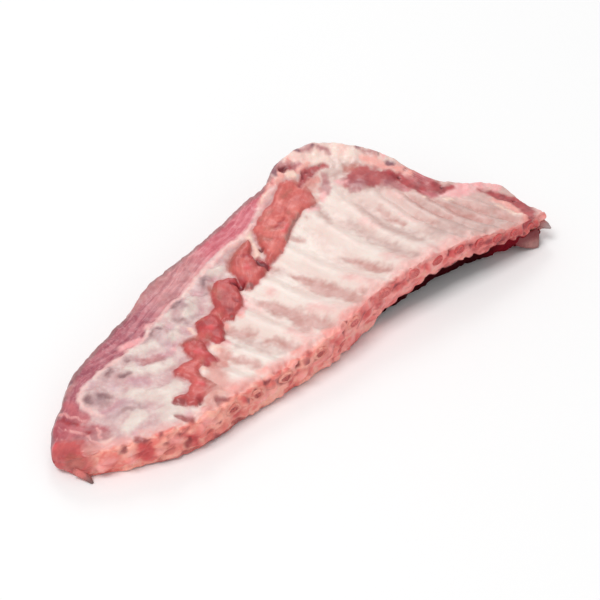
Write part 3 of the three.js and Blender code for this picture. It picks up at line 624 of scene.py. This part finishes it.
patch_lift = raise_patches(UNDER_PATCHES + GRISTLE_PATCHES + RIM_PATCHES + LOBE_PATCHES, loose_v)
face_patch_lift = raise_patches(FACE_PATCHES, from_sawn + loose_v - v)

# The sawn face is a jumble of soft lumps, flat over the bones, and the outside of the belly
# edge has long strands of lean meat. Both are cells of noise, each with a width, height and seed.
FACE_LUMP = (17, 11, 7)
LEAN_STRAND = (46, 12, 3)
FAR_SHARE = 9.0
face_x = x + 4.5 * lumps(x, v, 9, 13, 2)
face_v = from_sawn + 3.5 * lumps(x, v, 33, 13, 2)
seam, core, tint = cell_field(face_x, face_v, *FACE_LUMP)
lean_seam = cell_field(loose_x + 9 * lumps(x, v, 20, 30, 2), -from_belly, *LEAN_STRAND)[0]
bone_share = np.full(x.shape, FAR_SHARE)
for rib_x, lean, end_y, width, thick in RIBS:
    depth = RIB_COVER - 0.5 * RIB_RISE + 0.5 * thick + RIB_END_DIP
    share = np.hypot((x - rib_x) / width, (from_sawn + depth) / thick) * 2
    bone_share = np.minimum(bone_share, share)

# The top: ridges, lobes, knobs and patches, with the fibres of the lobes and a rough rim.
angle = np.radians(fibre_turn)
fibre_x = x * np.cos(angle) + v * np.sin(angle)
fibre_y = v * np.cos(angle) - x * np.sin(angle)
fibre_lift = 0.8 * lumps(x, v, 60, 13, 1) + 0.2 * lumps(fibre_x / 6, fibre_y, 0, 3, 1)
rough_rim = np.maximum(fade(from_belly, 14, 5), fade(x, 60, 90) * fade(v, 55, 75))
top_lift = np.maximum(RIDGE_HEIGHT * ridge, np.maximum(lobe_lift, knob_lift))
top_lift += patch_lift + 0.8 * lumps(x, v, 0, 12, 3) * (1 - 0.5 * ridge)
top_lift += fibre_lift * fade(lobe, 0, 3)
top_lift += 0.15 * lumps(x, v, 30, 5, 2) + 1.4 * lumps(x, v, 70, 9, 3) * rough_rim

# The sawn face, where lumps bulge between their seams, dark cores lie a little deeper, and the
# skin sinks behind each bone.
LUMP_BULGE = 2.0
SEAM_WIDTH = 4.5
FACE_INSET = 1.2
CORE_SINK = 1.4
DARK_TINT = 0.72
BONE_SINK = 1.5
# The distance from a bone's middle is a share of the bone's radius.
face_lift = LUMP_BULGE * fade(seam, 0, SEAM_WIDTH) - FACE_INSET + 1.5 * lumps(x, y, z, 11, 2)
face_lift += face_patch_lift - CORE_SINK * fade(core, 3.6, 1.2) * (tint > DARK_TINT)
face_lift = face_lift * fade(bone_share, 0.9, 1.7) - BONE_SINK * fade(bone_share, 0.95, 0.7)

# Each relief on its own side of the skin, fading out at the table and at the ends.
inner_side = fade(from_sawn, 0, 6) * fade(from_belly, -4, 3)
sawn_side = fade(from_sawn + 3 * lumps(x, v, 9, 9, 2), 7, 3) * fade(v, -160, -150)
roll_side = fade(from_belly, 2, -4)
roll_lift = 0.9 * lumps(x, y, z, 16, 3) + 0.5 * lumps(x, y, z, 6, 2)
height = top_lift * inner_side
height = height + (face_lift - height) * sawn_side
height = height + roll_lift * roll_side
height = height * fade(z, 0.2, 4) * end_scale[:, None] ** 0.5

points = np.stack([x, y, z], axis=2)
along_rack = np.gradient(points, axis=0)
across_rack = np.gradient(points, axis=1)
normals = np.cross(along_rack, across_rack)
normals /= np.maximum(np.linalg.norm(normals, axis=2, keepdims=True), 1e-9)
points += normals * height[:, :, None]
points[:, :, 2] = np.maximum(points[:, :, 2], 0)
points[:, -1] = points[:, 0]
points[0] = points[0].mean(axis=0)
points[-1] = points[-1].mean(axis=0)

# Where each place would meet the sawn edge if it slid down along the ribs.
FOOT_PASSES = 6
rib_lean = profile([(BRISKET_END, 0.5)] + [rib[:2] for rib in RIBS] + [(FLANK_END, 0.4)])
foot_x = x
for _ in range(FOOT_PASSES):
    foot_x = 0.5 * (foot_x + x + rib_lean(foot_x) * (v - sawn_y(foot_x)))

# What the material reads of each place. The two lines slant, so a way along y is longer than
# the way to the line.
FAT_LINE_SLANT = 0.92
LOBE_LINE_SLANT = 0.75
marks = {
    "lobe": lobe, "flesh": flesh, "ridge": ridge, "seam": seam, "tint": tint, "core": core,
    "bone_share": bone_share, "lean_seam": lean_seam,
    "from_sawn": from_sawn, "from_belly": from_belly, "past_hull": from_sawn - hull_line(x),
    "past_fat": (v - fat_line_y(x)) * FAT_LINE_SLANT,
    "past_lobes": (v - lobe_line_y(x)) * LOBE_LINE_SLANT,
    "grain": np.stack([fibre_x, fibre_y, z], axis=2),
    "plan": np.stack([x, v, z], axis=2),
    "rib_grain": np.stack([foot_x, v, z], axis=2),
    "edge_grain": np.stack([x, v - fat_line_y(x), z], axis=2),
}
marks.update(patches)
slab = shape_grid("slab", points, marks)


def colour(red, green, blue):
    """A screen colour, 0 to 255, as the light values that a shader takes."""
    values = [channel / 255 for channel in (red, green, blue)]
    light = [c / 12.92 if c <= 0.04045 else ((c + 0.055) / 1.055) ** 2.4 for c in values]
    return (*light, 1)


def new_material(name):
    """An empty material, and its shader."""
    material = bpy.data.materials.new(name)
    material.use_nodes = True
    tree = material.node_tree
    tree.nodes.clear()
    output = tree.nodes.new("ShaderNodeOutputMaterial")
    shader = tree.nodes.new("ShaderNodeBsdfPrincipled")
    tree.links.new(shader.outputs[0], output.inputs["Surface"])
    return material, tree, shader


def put(tree, socket, value):
    """A value or another node's result goes into a socket."""
    if isinstance(value, bpy.types.NodeSocket):
        tree.links.new(value, socket)
    else:
        socket.default_value = value


def mark(tree, name):
    """What the mesh says of this place."""
    node = tree.nodes.new("ShaderNodeAttribute")
    node.attribute_name = name
    return node.outputs["Vector" if name == "plan" or name.endswith("grain") else "Fac"]


def object_place(tree):
    """The place on the piece, in metres."""
    return tree.nodes.new("ShaderNodeTexCoord").outputs["Object"]


def coordinate(tree, place, axis):
    """One coordinate of a place: 0 is x, 1 is y and 2 is z."""
    node = tree.nodes.new("ShaderNodeSeparateXYZ")
    put(tree, node.inputs[0], place)
    return node.outputs[axis]


def mottle(tree, place, sizes, detail=3, roughness=0.55, distortion=0):
    """Noise from 0 to 1 with lumps of this size, or of a size for each way."""
    if not isinstance(sizes, tuple):
        sizes = (sizes, sizes, sizes)
    mapping = tree.nodes.new("ShaderNodeMapping")
    put(tree, mapping.inputs["Vector"], place)
    put(tree, mapping.inputs["Scale"], [1 / size for size in sizes])
    node = tree.nodes.new("ShaderNodeTexNoise")
    for label, value in (("Vector", mapping.outputs[0]), ("Scale", 1.0), ("Detail", detail),
                         ("Roughness", roughness), ("Distortion", distortion)):
        put(tree, node.inputs[label], value)
    return node.outputs[0]


def calc(tree, operation, first, second, third=0.0):
    """One step of arithmetic."""
    node = tree.nodes.new("ShaderNodeMath")
    node.operation = operation
    for socket, value in zip(node.inputs, (first, second, third)):
        put(tree, socket, value)
    return node.outputs[0]


def step(tree, value, low, high):
    """0 up to low, 1 from high on, eased between. It falls where low is the higher."""
    rising = low < high
    node = tree.nodes.new("ShaderNodeMapRange")
    node.interpolation_type = "SMOOTHSTEP"
    for label, number in (("Value", value), ("From Min", min(low, high)), ("From Max", max(low, high)),
                          ("To Min", 0.0 if rising else 1.0), ("To Max", 1.0 if rising else 0.0)):
        put(tree, node.inputs[label], number)
    return node.outputs[0]


def paint(tree, factor, under, over):
    """One colour laid over another. Each is a screen colour or another node's result."""
    node = tree.nodes.new("ShaderNodeMix")
    node.data_type = "RGBA"
    put(tree, node.inputs[0], factor)
    for socket, tone in ((node.inputs[6], under), (node.inputs[7], over)):
        put(tree, socket, colour(*tone) if isinstance(tone, tuple) else tone)
    return node.outputs[2]


def part_paint(tree, share, factor, under, over):
    """One colour laid over another, at most this thickly."""
    return paint(tree, calc(tree, "MULTIPLY", factor, share), under, over)


def bumps(tree, height, distance, strength):
    """A fine relief of this many millimetres."""
    node = tree.nodes.new("ShaderNodeBump")
    put(tree, node.inputs["Height"], height)
    put(tree, node.inputs["Distance"], distance * MM)
    put(tree, node.inputs["Strength"], strength)
    return node.outputs[0]


slab_material, tree, shader = new_material("raw_rib_slab")
plan = mark(tree, "plan")
along = coordinate(tree, plan, 0)
wobble = calc(tree, "SUBTRACT", mottle(tree, plan, 6, 2, 0.5), 0.5)
slow = mottle(tree, plan, 34)
clouds = mottle(tree, plan, 13, 4, 0.6)
fine = mottle(tree, plan, 2.2)
fibres = mottle(tree, mark(tree, "grain"), (20, 2.4, 4), 4, 0.6, 0.4)
streaks = mottle(tree, mark(tree, "rib_grain"), (4, 30, 10), 4, 0.6, 0.4)
edge_streaks = mottle(tree, mark(tree, "edge_grain"), (34, 4.5, 6), 4, 0.6, 0.6)


def inside(name, soft, rough, shift=0.0):
    """How far a place is inside a kind of tissue, with an uneven edge."""
    value = calc(tree, "MULTIPLY_ADD", wobble, rough, mark(tree, name))
    return step(tree, value, shift - soft, shift + soft)


def lay_patches(skin, kinds):
    """The patches of tissue, each laid over what is there."""
    tone_share = step(tree, clouds, 0.34, 0.68)
    for name, light, deep, cover, soft, rise, strokes in kinds:
        tone = paint(tree, tone_share, light, deep)
        skin = part_paint(tree, cover, inside(name, soft, 1.6 * soft), skin, tone)
    return skin


# The membrane over the ribs: milky white, pinker where it is thin over muscle, and darker and pinker
# towards the flank end.
membrane = paint(tree, step(tree, slow, 0.35, 0.65), (246, 230, 221), (238, 212, 203))
membrane = part_paint(tree, 0.45, step(tree, streaks, 0.46, 0.74), membrane, (230, 198, 190))
membrane = part_paint(tree, 0.75, step(tree, along, 95, 190), membrane, (212, 165, 158))
ridge_white = calc(tree, "MULTIPLY", mark(tree, "ridge"), step(tree, along, 150, 40))
membrane = part_paint(tree, 0.40, ridge_white, membrane, (247, 232, 223))
skin = lay_patches(membrane, UNDER_PATCHES)

# The gristle side: pale bars of cartilage that end in grey knobs, and mauve meat between.
gristle = paint(tree, step(tree, clouds, 0.32, 0.68), (232, 204, 199), (208, 164, 164))
gristle = part_paint(tree, 0.4, step(tree, streaks, 0.48, 0.72), gristle, (200, 156, 160))
skin = paint(tree, step(tree, mark(tree, "past_lobes"), -2, 5), skin, gristle)
skin = lay_patches(skin, GRISTLE_PATCHES)

# Lean meat of the belly side, with a brownish band of painted shade along its rolled edge, and fat on
# its outside.
belly_mark = mark(tree, "from_belly")
strand_share = step(tree, edge_streaks, 0.36, 0.64)
lean_meat = paint(tree, strand_share, (230, 136, 146), (206, 98, 112))
pale_lean = paint(tree, strand_share, (222, 152, 153), (186, 116, 122))
dark_lean = paint(tree, step(tree, edge_streaks, 0.36, 0.62), (196, 114, 124), (158, 74, 90))
lean_meat = paint(tree, step(tree, along, -25, -55), lean_meat, pale_lean)
lean_meat = paint(tree, step(tree, along, -82, -120), lean_meat, dark_lean)
lean_meat = part_paint(tree, 0.35, step(tree, fine, 0.5, 0.8), lean_meat, (236, 176, 178))
outside = paint(tree, step(tree, clouds, 0.36, 0.64), (190, 108, 110), (152, 74, 80))
fat_strands = calc(tree, "MULTIPLY", step(tree, mark(tree, "lean_seam"), 2.4, 0.2),
                   step(tree, slow, 0.48, 0.60))
fat_flecks = step(tree, mottle(tree, plan, (30, 11, 11), 4, 0.6, 0.7), 0.52, 0.60)
outer_fat = calc(tree, "MAXIMUM", fat_strands, fat_flecks)
outside = part_paint(tree, 0.8, outer_fat, outside, (238, 202, 192))
lean_meat = paint(tree, step(tree, belly_mark, 1, -5), lean_meat, outside)
# Painted shade, brownish, where the belly edge rolls over.
painted_edge_shade = calc(tree, "MULTIPLY", step(tree, belly_mark, 5, 1.5), step(tree, belly_mark, -6, -2))
lean_meat = part_paint(tree, 0.75, painted_edge_shade, lean_meat, (152, 112, 112))
lean_share = calc(tree, "MAXIMUM", inside("past_fat", 1.6, 4.0), step(tree, belly_mark, 0, -4))
skin = paint(tree, lean_share, skin, lean_meat)
skin = lay_patches(skin, RIM_PATCHES)

# The muscle lobes: salmon to deep red, with faint fibres, and painted shade round each lobe's rounded
# edge so that its top reads paler.
muscle_share = step(tree, clouds, 0.34, 0.64)
light_muscle = paint(tree, muscle_share, (230, 122, 113), (208, 94, 88))
deep_muscle = paint(tree, muscle_share, (202, 68, 69), (170, 50, 54))
muscle = paint(tree, mark(tree, "flesh"), light_muscle, deep_muscle)
muscle = part_paint(tree, 0.25, step(tree, fibres, 0.46, 0.68), muscle, (172, 62, 64))
muscle = part_paint(tree, 0.2, step(tree, fibres, 0.44, 0.28), muscle, (244, 152, 140))
# Painted shade round the edge of each lobe, where it rounds down.
muscle = part_paint(tree, 0.3, step(tree, mark(tree, "lobe"), 4.5, 0.0), muscle, (160, 58, 60))
skin = part_paint(tree, 0.55, inside("lobe", 2.4, 2.6, -1.6), skin, (196, 112, 112))
skin = paint(tree, inside("lobe", 0.9, 2.2), skin, muscle)

# The sawn side: soft lumps of meat and marrow with pale fat between, redder to the flank.
seam_mark = mark(tree, "seam")
swirl = mottle(tree, plan, 13, 2, 0.5, 0.3)
meaty = step(tree, mottle(tree, plan, 17, 3, 0.55, 0.2), 0.38, 0.60)
salmon_lumps = paint(tree, meaty, (254, 172, 154), (236, 122, 112))
red_lumps = paint(tree, meaty, (255, 166, 158), (238, 118, 114))
deep_lumps = paint(tree, meaty, (234, 108, 102), (198, 72, 72))
sawn = paint(tree, step(tree, along, -90, 40), salmon_lumps, red_lumps)
sawn = paint(tree, step(tree, along, 130, 190), sawn, deep_lumps)
sawn = part_paint(tree, 0.45, step(tree, swirl, 0.53, 0.64), sawn, (186, 62, 64))
sawn = part_paint(tree, 0.5, step(tree, swirl, 0.44, 0.34), sawn, (252, 184, 162))
pale_seam = calc(tree, "MULTIPLY", step(tree, seam_mark, 2.6, 0.2), step(tree, clouds, 0.54, 0.40))
pale_seam = calc(tree, "MULTIPLY", pale_seam, step(tree, along, 120, -20))
sawn = part_paint(tree, 0.6, pale_seam, sawn, (252, 186, 168))
dark_seam = calc(tree, "MULTIPLY", step(tree, seam_mark, 1.8, 0.2), step(tree, clouds, 0.54, 0.62))
sawn = part_paint(tree, 0.35, dark_seam, sawn, (150, 54, 56))
cores = calc(tree, "MULTIPLY", step(tree, mark(tree, "core"), 4.0, 1.2),
             step(tree, mark(tree, "tint"), DARK_TINT, 0.76))
sawn = part_paint(tree, 0.5, cores, sawn, (150, 46, 50))
sawn = lay_patches(sawn, FACE_PATCHES)
bone_ring = calc(tree, "MULTIPLY", step(tree, mark(tree, "bone_share"), 1.7, 1.2),
                 step(tree, along, 90, -20))
sawn = part_paint(tree, 0.6, bone_ring, sawn, (244, 160, 144))

# Round the sawn rim the membrane blushes, and on the flank half the rim is red.
sawn_edge = calc(tree, "MULTIPLY_ADD", wobble, 7.0, mark(tree, "from_sawn"))
sawn_edge = calc(tree, "MULTIPLY_ADD", step(tree, along, -20, 60), 6.0, sawn_edge)
blush = calc(tree, "MULTIPLY", step(tree, sawn_edge, 15.0, 3.0), step(tree, clouds, 0.20, 0.55))
skin = part_paint(tree, 0.75, blush, skin, (244, 168, 160))
red_rim = calc(tree, "MULTIPLY", step(tree, sawn_edge, 9.0, 4.0), step(tree, along, -40, 60))
skin = part_paint(tree, 0.6, red_rim, skin, (226, 118, 112))
skin = paint(tree, step(tree, sawn_edge, 5.4, 0.2), skin, sawn)

# The hull under the sawn face: red meat at the brisket end; over the undercut, painted shade, near
# black and turning dark crimson at the flank end.
light_hull = paint(tree, step(tree, clouds, 0.35, 0.65), (204, 106, 99), (166, 70, 70))
painted_shade_hull = paint(tree, step(tree, along, 166, 196), (50, 11, 15), (118, 24, 34))
hull = paint(tree, step(tree, along, 30, 62), light_hull, painted_shade_hull)
hull_edge = calc(tree, "MULTIPLY_ADD", wobble, 4.0, mark(tree, "past_hull"))
skin = paint(tree, step(tree, hull_edge, 0.8, -1.6), skin, hull)

# The flank end is a plain cut through layers of lean and fat.
layers = mottle(tree, object_place(tree), (30 * MM, 26 * MM, 4 * MM), 3, 0.55, 0.6)
end_meat = paint(tree, step(tree, layers, 0.48, 0.60), (198, 92, 94), (240, 194, 184))
end_meat = part_paint(tree, 0.5, step(tree, clouds, 0.5, 0.7), end_meat, (166, 66, 72))
skin = paint(tree, step(tree, along, 240.0, 241.2), skin, end_meat)
skin = lay_patches(skin, LOBE_PATCHES)

put(tree, shader.inputs["Base Color"], skin)
put(tree, shader.inputs["Roughness"], calc(tree, "MULTIPLY_ADD", clouds, 0.18, 0.34))
shader.inputs["Subsurface Weight"].default_value = 0.12
shader.inputs["Subsurface Radius"].default_value = (1.0, 0.35, 0.25)
shader.inputs["Subsurface Scale"].default_value = 3 * MM
shader.inputs["Coat Weight"].default_value = 0.22
shader.inputs["Coat Roughness"].default_value = 0.3
relief = calc(tree, "MULTIPLY_ADD", fibres, 0.35, calc(tree, "MULTIPLY", fine, 0.3))
put(tree, shader.inputs["Normal"], bumps(tree, relief, 0.8, 0.35))
slab.data.materials.append(slab_material)

# The undercut, painted near black as shade, is also given no shine, so that it stays dark.
PAINTED_SHADE_FROM_X = 50
PAINTED_SHADE_PAST_HULL = -1
painted_shade_material = slab_material.copy()
painted_shade_material.name = "painted_shade_rib_slab"
painted_shade_shader = painted_shade_material.node_tree.nodes[shader.name]
painted_shade_shader.inputs["Specular IOR Level"].default_value = 0.0
painted_shade_shader.inputs["Coat Weight"].default_value = 0
slab.data.materials.append(painted_shade_material)
past_hull = np.empty(len(slab.data.vertices), np.float32)
slab.data.attributes["past_hull"].data.foreach_get("value", past_hull)
for panel in slab.data.polygons:
    in_hull = past_hull[panel.vertices[0]] < PAINTED_SHADE_PAST_HULL
    panel.material_index = int(in_hull and panel.center.x > PAINTED_SHADE_FROM_X * MM)
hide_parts("meat")
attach(slab, "root")


# ---- The scraps ---------------------------------------------------------------------------
# Three shreds that the knife left hanging: a tag of muscle under the brisket end, the flank's
# sharp corner, and a grey flap of skin that hangs in front of the undercut.

SCRAP_SIDES = 24
STEPS_PER_RING = 4
# Rings from the tip into the rack: x, y, z, half width along x and half thickness.
BRISKET_TAG = [(-228.5, -91.8, 1.3, 1.0, 0.9), (-229.5, -86, 3.2, 3.2, 2.6), (-231, -79, 6.5, 6.5, 5)]
FLANK_CORNER = [(241.5, -84, 15, 0.8, 0.9), (239.5, -80, 16.5, 3.2, 3.2), (235, -73, 17, 7, 6)]
# The flap's outline as x and z, its front, how far its lower right swings out, its thickness.
FLAP_OUTLINE = [(231, 14), (229, 18), (205, 18), (203, 14), (205, 10), (210, 6.5), (216, 3.4),
                (223, 0.9), (228, 0.7), (229, 3), (230, 8)]
FLAP_LEFT_X = 203
FLAP_WIDTH = 27
FLAP_TOP_Z = 18
FLAP_FRONT_Y = -80.5
FLAP_SWING = 6
FLAP_THICK = 2.2
# Its rings from the middle of the front round the edge to the back: share of the outline, and
# share of the thickness.
FLAP_RINGS = [(0, 0), (0.5, 0), (0.94, 0.1), (1, 0.5), (0.94, 0.9), (0.5, 1), (0, 1)]
# Painted shade darkens it higher up and towards the middle of the rack, fading in between these.
FLAP_SHADE_Z = (4 * MM, 13 * MM)
FLAP_SHADE_X = (224 * MM, 206 * MM)


def scrap_material(name, inner, tip, tip_y, fade_length, shaded=False):
    """Meat that dries towards its tip; if shaded, dark red painted shade lies over it higher up and
    towards the middle of the rack.
    """
    material, tree, shader = new_material(name)
    place = object_place(tree)
    mottling = mottle(tree, place, 5 * MM, 3, 0.6)
    grain = mottle(tree, place, (1.5 * MM, 4 * MM, 1.5 * MM), 2)
    away = calc(tree, "SUBTRACT", coordinate(tree, place, 1), (tip_y - RACK_MIDDLE[1]) * MM)
    meat = paint(tree, step(tree, mottling, 0.36, 0.64), inner, tuple(0.8 * c for c in inner))
    dried_and_painted_shade = paint(tree, step(tree, away, fade_length * MM, 0), meat, tip)
    dried_and_painted_shade = part_paint(tree, 0.3, step(tree, grain, 0.5, 0.7), dried_and_painted_shade, (120, 60, 60))
    if shaded:
        # Painted shade: dark red higher up on the flap and towards the middle of the rack.
        painted_shade = calc(tree, "MAXIMUM", step(tree, coordinate(tree, place, 2), *FLAP_SHADE_Z),
                   step(tree, coordinate(tree, place, 0), *FLAP_SHADE_X))
        dried_and_painted_shade = part_paint(tree, 0.92, painted_shade, dried_and_painted_shade, (122, 16, 28))
    put(tree, shader.inputs["Base Color"], dried_and_painted_shade)
    put(tree, shader.inputs["Roughness"], calc(tree, "MULTIPLY_ADD", mottling, 0.2, 0.35))
    put(tree, shader.inputs["Normal"], bumps(tree, grain, 0.4, 0.5))
    return material


scrap_turns = np.linspace(0, 2 * math.pi, SCRAP_SIDES + 1)
for name, places, inner, tip in (
        ("brisket_tag", BRISKET_TAG, (224, 122, 116), (124, 90, 88)),
        ("flank_corner", FLANK_CORNER, (186, 92, 90), (170, 148, 146))):
    at_step = np.linspace(0, len(places) - 1, STEPS_PER_RING * (len(places) - 1) + 1)
    columns = [np.interp(at_step, range(len(places)), values) for values in zip(*places)]
    spine = np.stack(columns, axis=1)
    spine = np.concatenate([spine[:1], spine, spine[-1:]])
    spine[[0, -1], 3:] = 0
    rings = np.stack([spine[:, [0]] + spine[:, [3]] * np.cos(scrap_turns),
                      spine[:, [1]] + 0 * scrap_turns,
                      np.maximum(spine[:, [2]] + spine[:, [4]] * np.sin(scrap_turns), 0)], axis=2)
    scrap = shape_grid(name, rings, {})
    scrap.data.materials.append(scrap_material(name + "_meat", inner, tip, places[0][1], 9))
    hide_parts("meat")
    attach(scrap, "root")

outline = np.array(FLAP_OUTLINE + FLAP_OUTLINE[:1], float)
low_corner = (outline[:, 0] - FLAP_LEFT_X) / FLAP_WIDTH * (1 - outline[:, 1] / FLAP_TOP_Z)
flap_middle = outline[:-1].mean(axis=0)
rings = []
for size, thickness_share in FLAP_RINGS:
    ring = flap_middle + (outline - flap_middle) * size
    ring_y = FLAP_FRONT_Y - FLAP_SWING * low_corner * size + FLAP_THICK * thickness_share
    rings.append(np.stack([ring[:, 0], ring_y, ring[:, 1]], axis=1))
flap = shape_grid("flank_flap", np.array(rings), {})
flap_skin = scrap_material("flap_skin", (194, 132, 126), (172, 120, 116), -86, 6, shaded=True)
flap.data.materials.append(flap_skin)
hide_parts("meat")
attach(flap, "root")


# ---- The ribs -----------------------------------------------------------------------------
# Thirteen flat rib bones inside the slab, each sawn through at the chine side. The sawn end
# shows a pale ring of hard bone round red, spongy marrow.

RIB_TAPER = 0.8
RIB_PROUD = 0.5
RIB_SIDES = 28
RIB_LENGTH_STEPS = 14
# Rings of the sawn end, from its middle out: share of the radius, and how far in it lies.
END_RINGS = [(0.0, 0.5), (0.30, 0.5), (0.46, 0.4), (0.58, 0.2), (0.70, 0.0), (0.84, 0.1),
             (0.94, 0.5), (1.0, 1.1)]
MARROW_DEPTH = 1
# The rings of its length start and stop this far from its ends, and the tip is rounded.
LENGTH_START = 0.7
LENGTH_STOP = 2
TIP_SHARE = 0.6
TIP_LENGTH = 0.6

bone_material, tree, shader = new_material("sawn_rib_bone")
bone_place = object_place(tree)
bone_x = coordinate(tree, bone_place, 0)
pores = mottle(tree, bone_place, 1.2 * MM, 3, 0.6)
cloud = mottle(tree, bone_place, 5 * MM)
bone_tone = step(tree, cloud, 0.38, 0.62)
marrow_tone = step(tree, pores, 0.4, 0.6)
to_flank = step(tree, bone_x, 80 * MM, 125 * MM)
hard_bone = paint(tree, bone_tone, (244, 170, 152), (218, 118, 108))
red_bone = paint(tree, bone_tone, (236, 130, 124), (206, 90, 88))
bloody_bone = paint(tree, bone_tone, (224, 100, 96), (190, 70, 70))
hard_bone = paint(tree, step(tree, bone_x, -20 * MM, 70 * MM), hard_bone, red_bone)
hard_bone = paint(tree, to_flank, hard_bone, bloody_bone)
marrow = paint(tree, marrow_tone, (204, 92, 84), (158, 56, 56))
red_marrow = paint(tree, marrow_tone, (226, 118, 114), (198, 86, 86))
bloody_marrow = paint(tree, marrow_tone, (214, 90, 88), (184, 64, 66))
marrow = paint(tree, step(tree, bone_x, -20 * MM, 20 * MM), marrow, red_marrow)
marrow = paint(tree, to_flank, marrow, bloody_marrow)
edge = calc(tree, "MULTIPLY_ADD", calc(tree, "SUBTRACT", cloud, 0.5), 1.1, mark(tree, "marrow"))
put(tree, shader.inputs["Base Color"], paint(tree, step(tree, edge, 0.70, 0.48), hard_bone, marrow))
put(tree, shader.inputs["Roughness"], calc(tree, "MULTIPLY_ADD", cloud, 0.2, 0.35))
put(tree, shader.inputs["Normal"], bumps(tree, pores, 0.5, 0.7))

rib_random = np.random.default_rng(11)
rib_turns = np.linspace(0, 2 * math.pi, RIB_SIDES + 1)
for number, (rib_x, lean, end_y, width, thick) in enumerate(RIBS, 1):
    foot_y = float(sawn_y(rib_x))
    sawn_end = foot_y - SAWN_FACE_BULGE - RIB_PROUD
    stations = [(share, sawn_end + depth) for share, depth in END_RINGS]
    length = end_y - LENGTH_STOP - sawn_end
    stations += [(1.0, sawn_end + LENGTH_START + length * ring_number / RIB_LENGTH_STEPS)
                 for ring_number in range(1, RIB_LENGTH_STEPS + 1)]
    stations += [(TIP_SHARE, end_y - TIP_LENGTH), (0.0, end_y)]
    oval = 0.07 * np.sin(2 * rib_turns + rib_random.uniform(0, 6))
    three_sided = 0.04 * np.sin(3 * rib_turns + rib_random.uniform(0, 6))
    uneven = 1 + oval + three_sided
    rings = []
    shares = []
    for share, ring_y in stations:
        ring_x = rib_x - lean * (ring_y - foot_y)
        size = 1 + (RIB_TAPER - 1) * np.clip((ring_y - sawn_end) / (end_y - sawn_end), 0, 1)
        dip = RIB_END_DIP * max(1 - max(ring_y - sawn_end, 0) / END_DIP_LENGTH, 0)
        ring_z = float(trough_z(ring_x, ring_y)) + 0.5 * RIB_RISE - RIB_COVER - 0.5 * thick * size - dip
        radius = 0.5 * size * share * uneven
        rings.append(np.stack([ring_x + width * radius * np.cos(rib_turns),
                               np.full_like(rib_turns, ring_y),
                               ring_z + thick * radius * np.sin(rib_turns)], axis=1))
        shares.append(np.full_like(rib_turns, share if ring_y < sawn_end + MARROW_DEPTH else 1.0))
    bone = shape_grid(f"rib_bone_{number:02d}", np.array(rings), {"marrow": np.array(shares)})
    bone.data.materials.append(bone_material)
    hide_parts(f"rib_{number:02d}")
    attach(bone, "root")


# ---- Floor, light and camera --------------------------------------------------------------
# A plain white floor in a white room, with a large soft light overhead at the left, a small one
# behind and a weak one in front. The rack is seen from its sawn side and brisket end.

FLOOR_SIZE = 30.0
FLOOR_WHITE = 0.985
FLOOR_ROUGHNESS = 0.9
ROOM_LIGHT = 0.5
bpy.ops.mesh.primitive_plane_add(size=FLOOR_SIZE)
floor = bpy.context.object
floor.name = "floor"
floor_material, tree, shader = new_material("white_floor")
shader.inputs["Base Color"].default_value = (FLOOR_WHITE, FLOOR_WHITE, FLOOR_WHITE, 1)
shader.inputs["Roughness"].default_value = FLOOR_ROUGHNESS
floor.data.materials.append(floor_material)

room = bpy.data.worlds.new("white_room")
room.use_nodes = True
room.node_tree.nodes["Background"].inputs["Color"].default_value = (1, 1, 1, 1)
room.node_tree.nodes["Background"].inputs["Strength"].default_value = ROOM_LIGHT
bpy.context.scene.world = room

# Each light: its name, place, size and power.
LIGHTS = [("key_light", (-2.2, 0.0, 5.0), 2.4, 143), ("back_light", (1.5, 2.0, 2.1), 1.0, 14),
          ("front_light", (-0.8, -3.0, 1.2), 1.5, 7)]
for name, place, size, power in LIGHTS:
    bpy.ops.object.light_add(type="AREA", location=place)
    lamp = bpy.context.object
    lamp.name = name
    lamp.data.size = size
    lamp.data.energy = power
    lamp.rotation_euler = (-Vector(place)).to_track_quat("-Z", "Y").to_euler()

CAMERA_AZIMUTH = math.radians(-37)
CAMERA_ELEVATION = math.radians(40)
CAMERA_DISTANCE = 1.2
CAMERA_TARGET = Vector((0.0039, -0.0342, 0.020))
CAMERA_LENS = 88
SENSOR_WIDTH = 36
back = Vector((math.sin(CAMERA_AZIMUTH) * math.cos(CAMERA_ELEVATION),
               -math.cos(CAMERA_AZIMUTH) * math.cos(CAMERA_ELEVATION),
               math.sin(CAMERA_ELEVATION)))
bpy.ops.object.camera_add(location=CAMERA_TARGET + back * CAMERA_DISTANCE)
camera = bpy.context.object
camera.rotation_euler = back.to_track_quat("Z", "Y").to_euler()
camera.data.lens = CAMERA_LENS
camera.data.sensor_width = SENSOR_WIDTH
bpy.context.scene.camera = camera
bpy.context.scene.view_settings.view_transform = "Standard"
